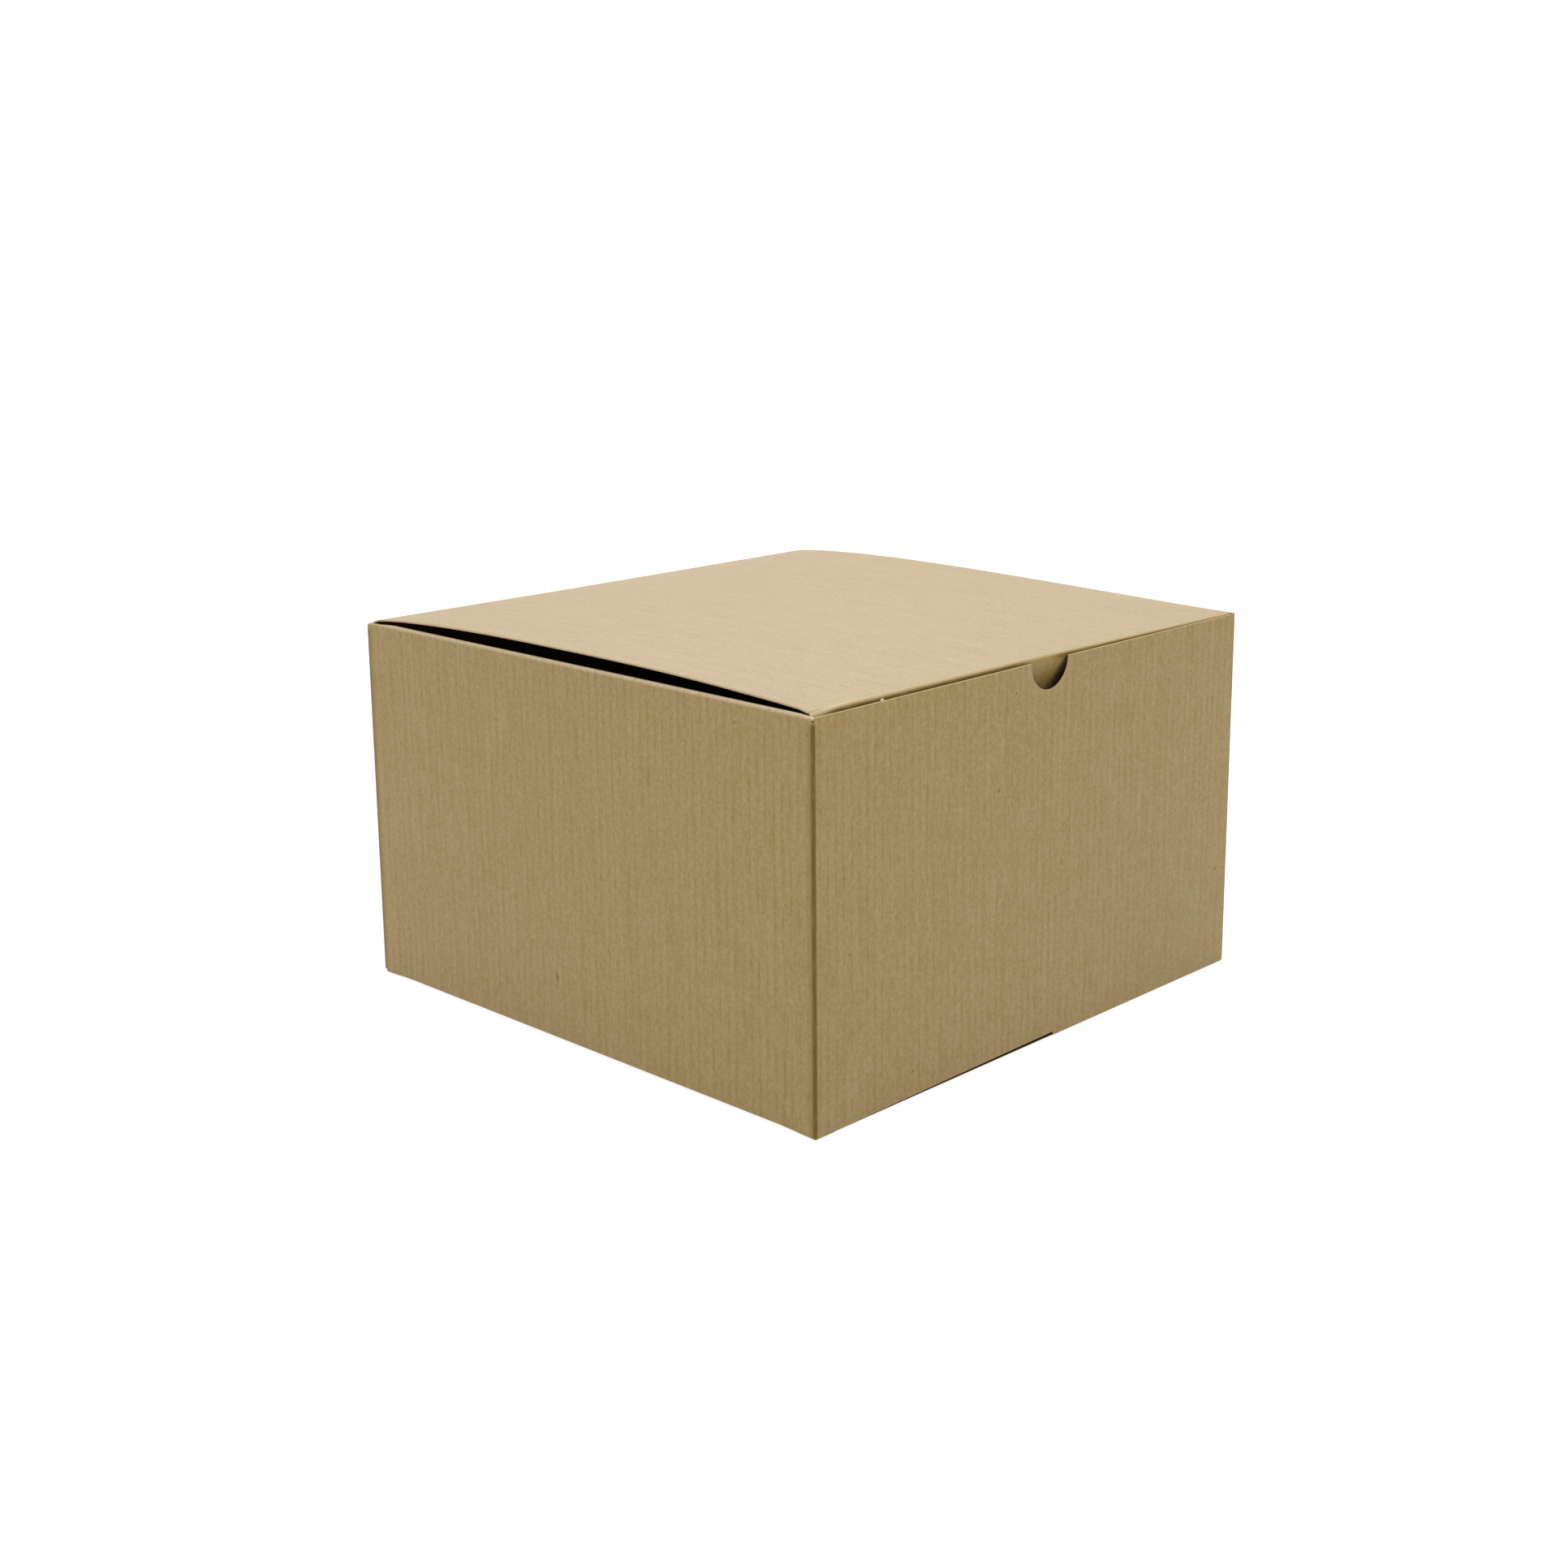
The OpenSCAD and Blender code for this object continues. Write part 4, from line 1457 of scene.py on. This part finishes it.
# Floor: its side, its drop below the box, and the distances over which its glow grows to white
FLOOR_SIDE = 8
FLOOR_DROP = 0.05 * MM
FLOOR_NEAR = 0.4
FLOOR_FAR = 1.2
FAINT = (0.3, 0.3, 0.3, 1)
WHITE = (1, 1, 1, 1)

# Lamps: name, place, the point that it is aimed at, side, and the value that holds its power
LAMPS = (
    ("top_lamp", (0, 0, 1.6), (0, 0, 0), 1.6, "top_lamp"),
    ("left_lamp", (-1.5, 0.1, 0.7), (-0.1, 0, 0.08), 1.0, "side_lamp"),
    ("front_lamp", (0.1, -1.5, 0.7), (0, -0.1, 0.08), 1.0, "side_lamp"),
    ("back_lamp", (0.75, 0.7, 1.1), (-0.05, -0.05, LID_HIGH.z), 1.0, "back_lamp"),
)


def seen_directly(tree):
    """Gives 1 to the camera, to reflections and to rays through glass, and 0 to the light on the pieces."""
    paths = tree.nodes.new("ShaderNodeLightPath")
    seen = maths(tree, "MAXIMUM", paths.outputs["Is Camera Ray"], paths.outputs["Is Glossy Ray"])
    return maths(tree, "MAXIMUM", seen, paths.outputs["Is Transmission Ray"])


def floor_finish():
    """Pale floor. The camera and reflections see it near white, with the box's soft shadow on it."""
    values = studio_values()
    material = bpy.data.materials.new("studio_floor")
    material.use_nodes = True
    tree = material.node_tree
    tree.nodes.clear()
    seen = seen_directly(tree)
    matt = put(tree, "ShaderNodeBsdfDiffuse", color=(*values.floor, 1))
    faint = put(tree, "ShaderNodeBsdfDiffuse", color=FAINT)
    place = tree.nodes.new("ShaderNodeTexCoord").outputs["Object"]
    far = put(tree, "ShaderNodeVectorMath", in_0=place)
    far.operation = "LENGTH"
    strength = ramp(tree, far.outputs["Value"], FLOOR_NEAR, FLOOR_FAR, values.floor_glow, 1.0)
    glow = put(tree, "ShaderNodeEmission", color=WHITE, strength=strength)
    white = put(tree, "ShaderNodeAddShader", in_0=faint.outputs[0], in_1=glow.outputs[0])
    mix = put(tree, "ShaderNodeMixShader", in_0=seen, in_1=matt.outputs[0], in_2=white.outputs[0])
    output = tree.nodes.new("ShaderNodeOutputMaterial")
    tree.links.new(mix.outputs[0], output.inputs["Surface"])
    return material


def make_floor():
    """Lays the floor just under the box."""
    select_only()
    bpy.ops.mesh.primitive_plane_add(size=FLOOR_SIDE, location=(0, 0, -FLOOR_DROP))
    floor = settle("studio_floor")
    floor.data.materials.append(floor_finish())


def make_surround():
    """Lights the studio evenly from all round, with white for the camera and for reflections."""
    world = bpy.data.worlds.new("studio")
    bpy.context.scene.world = world
    world.use_nodes = True
    tree = world.node_tree
    background = tree.nodes["Background"]
    background.inputs["Color"].default_value = WHITE
    seen = seen_directly(tree)
    fill = studio_values().fill
    tree.links.new(maths(tree, "MULTIPLY_ADD", seen, 1.0 - fill, fill), background.inputs["Strength"])


def make_lamp(name, place, aim, side, power):
    """Hangs a soft square lamp at a place, aimed at a point."""
    select_only()
    bpy.ops.object.light_add(type="AREA", location=place)
    lamp = bpy.context.active_object
    lamp.name = name
    lamp.data.size = side
    lamp.data.energy = power
    lamp.rotation_euler = (Vector(aim) - Vector(place)).to_track_quat("-Z", "Y").to_euler()


def make_camera():
    """Stands the camera at the portrait's angle."""
    values = studio_values()
    select_only()
    bpy.ops.object.camera_add(location=values.camera_place)
    camera = bpy.context.active_object
    camera.name = "portrait_camera"
    camera.rotation_mode = "QUATERNION"
    aim = Vector(values.camera_aim).to_track_quat("-Z", "Y")
    camera.rotation_quaternion = aim @ Quaternion(Z, values.camera_roll)
    camera.data.lens = values.lens
    camera.data.sensor_width = 36
    camera.data.shift_x = values.shift_x
    camera.data.shift_y = values.shift_y
    bpy.context.scene.camera = camera


class GIFTBOX_OT_studio(bpy.types.Operator):
    """Sets up the floor, the light and the camera"""

    bl_idname = "giftbox.studio"
    bl_label = "Studio"

    def execute(self, context):
        make_floor()
        make_surround()
        for name, place, aim, side, power in LAMPS:
            make_lamp(name, place, aim, side, getattr(studio_values(), power))
        make_camera()
        bpy.context.scene.view_settings.view_transform = "Standard"
        return {"FINISHED"}


OPERATORS = (
    GIFTBOX_OT_walls,
    GIFTBOX_OT_upright_folds,
    GIFTBOX_OT_foot_folds,
    GIFTBOX_OT_lid,
    GIFTBOX_OT_dust_flaps,
    GIFTBOX_OT_moving_folds,
    GIFTBOX_OT_bottom,
    GIFTBOX_OT_studio,
)
GROUPS = {
    "gift_box_board": GiftBoxBoard,
    "gift_box_lid": GiftBoxLid,
    "gift_box_finish": GiftBoxFinish,
    "gift_box_studio": GiftBoxStudio,
}


class GIFTBOX_PT_panel(bpy.types.Panel):
    """Lists the steps that build the gift box, and its sizes and colours"""

    bl_label = "Gift Box"
    bl_idname = "GIFTBOX_PT_panel"
    bl_space_type = "VIEW_3D"
    bl_region_type = "UI"
    bl_category = "Gift Box"

    def draw(self, context):
        for operator in OPERATORS:
            self.layout.operator(operator.bl_idname)
        for group in GROUPS:
            values = getattr(context.scene, group)
            box = self.layout.box()
            for name in values.__annotations__:
                box.prop(values, name)


def register():
    for group in GROUPS.values():
        bpy.utils.register_class(group)
    for name, group in GROUPS.items():
        setattr(bpy.types.Scene, name, PointerProperty(type=group))
    for operator in OPERATORS:
        bpy.utils.register_class(operator)
    bpy.utils.register_class(GIFTBOX_PT_panel)


def unregister():
    bpy.utils.unregister_class(GIFTBOX_PT_panel)
    for operator in reversed(OPERATORS):
        bpy.utils.unregister_class(operator)
    for name in GROUPS:
        delattr(bpy.types.Scene, name)
    for group in reversed(list(GROUPS.values())):
        bpy.utils.unregister_class(group)


def main():
    """Builds the gift box and its studio."""
    register()
    bpy.ops.giftbox.walls()
    bpy.ops.giftbox.upright_folds()
    bpy.ops.giftbox.foot_folds()
    bpy.ops.giftbox.lid()
    bpy.ops.giftbox.dust_flaps()
    bpy.ops.giftbox.moving_folds()
    bpy.ops.giftbox.bottom()
    bpy.ops.giftbox.studio()


if __name__ == "__main__":
    main()
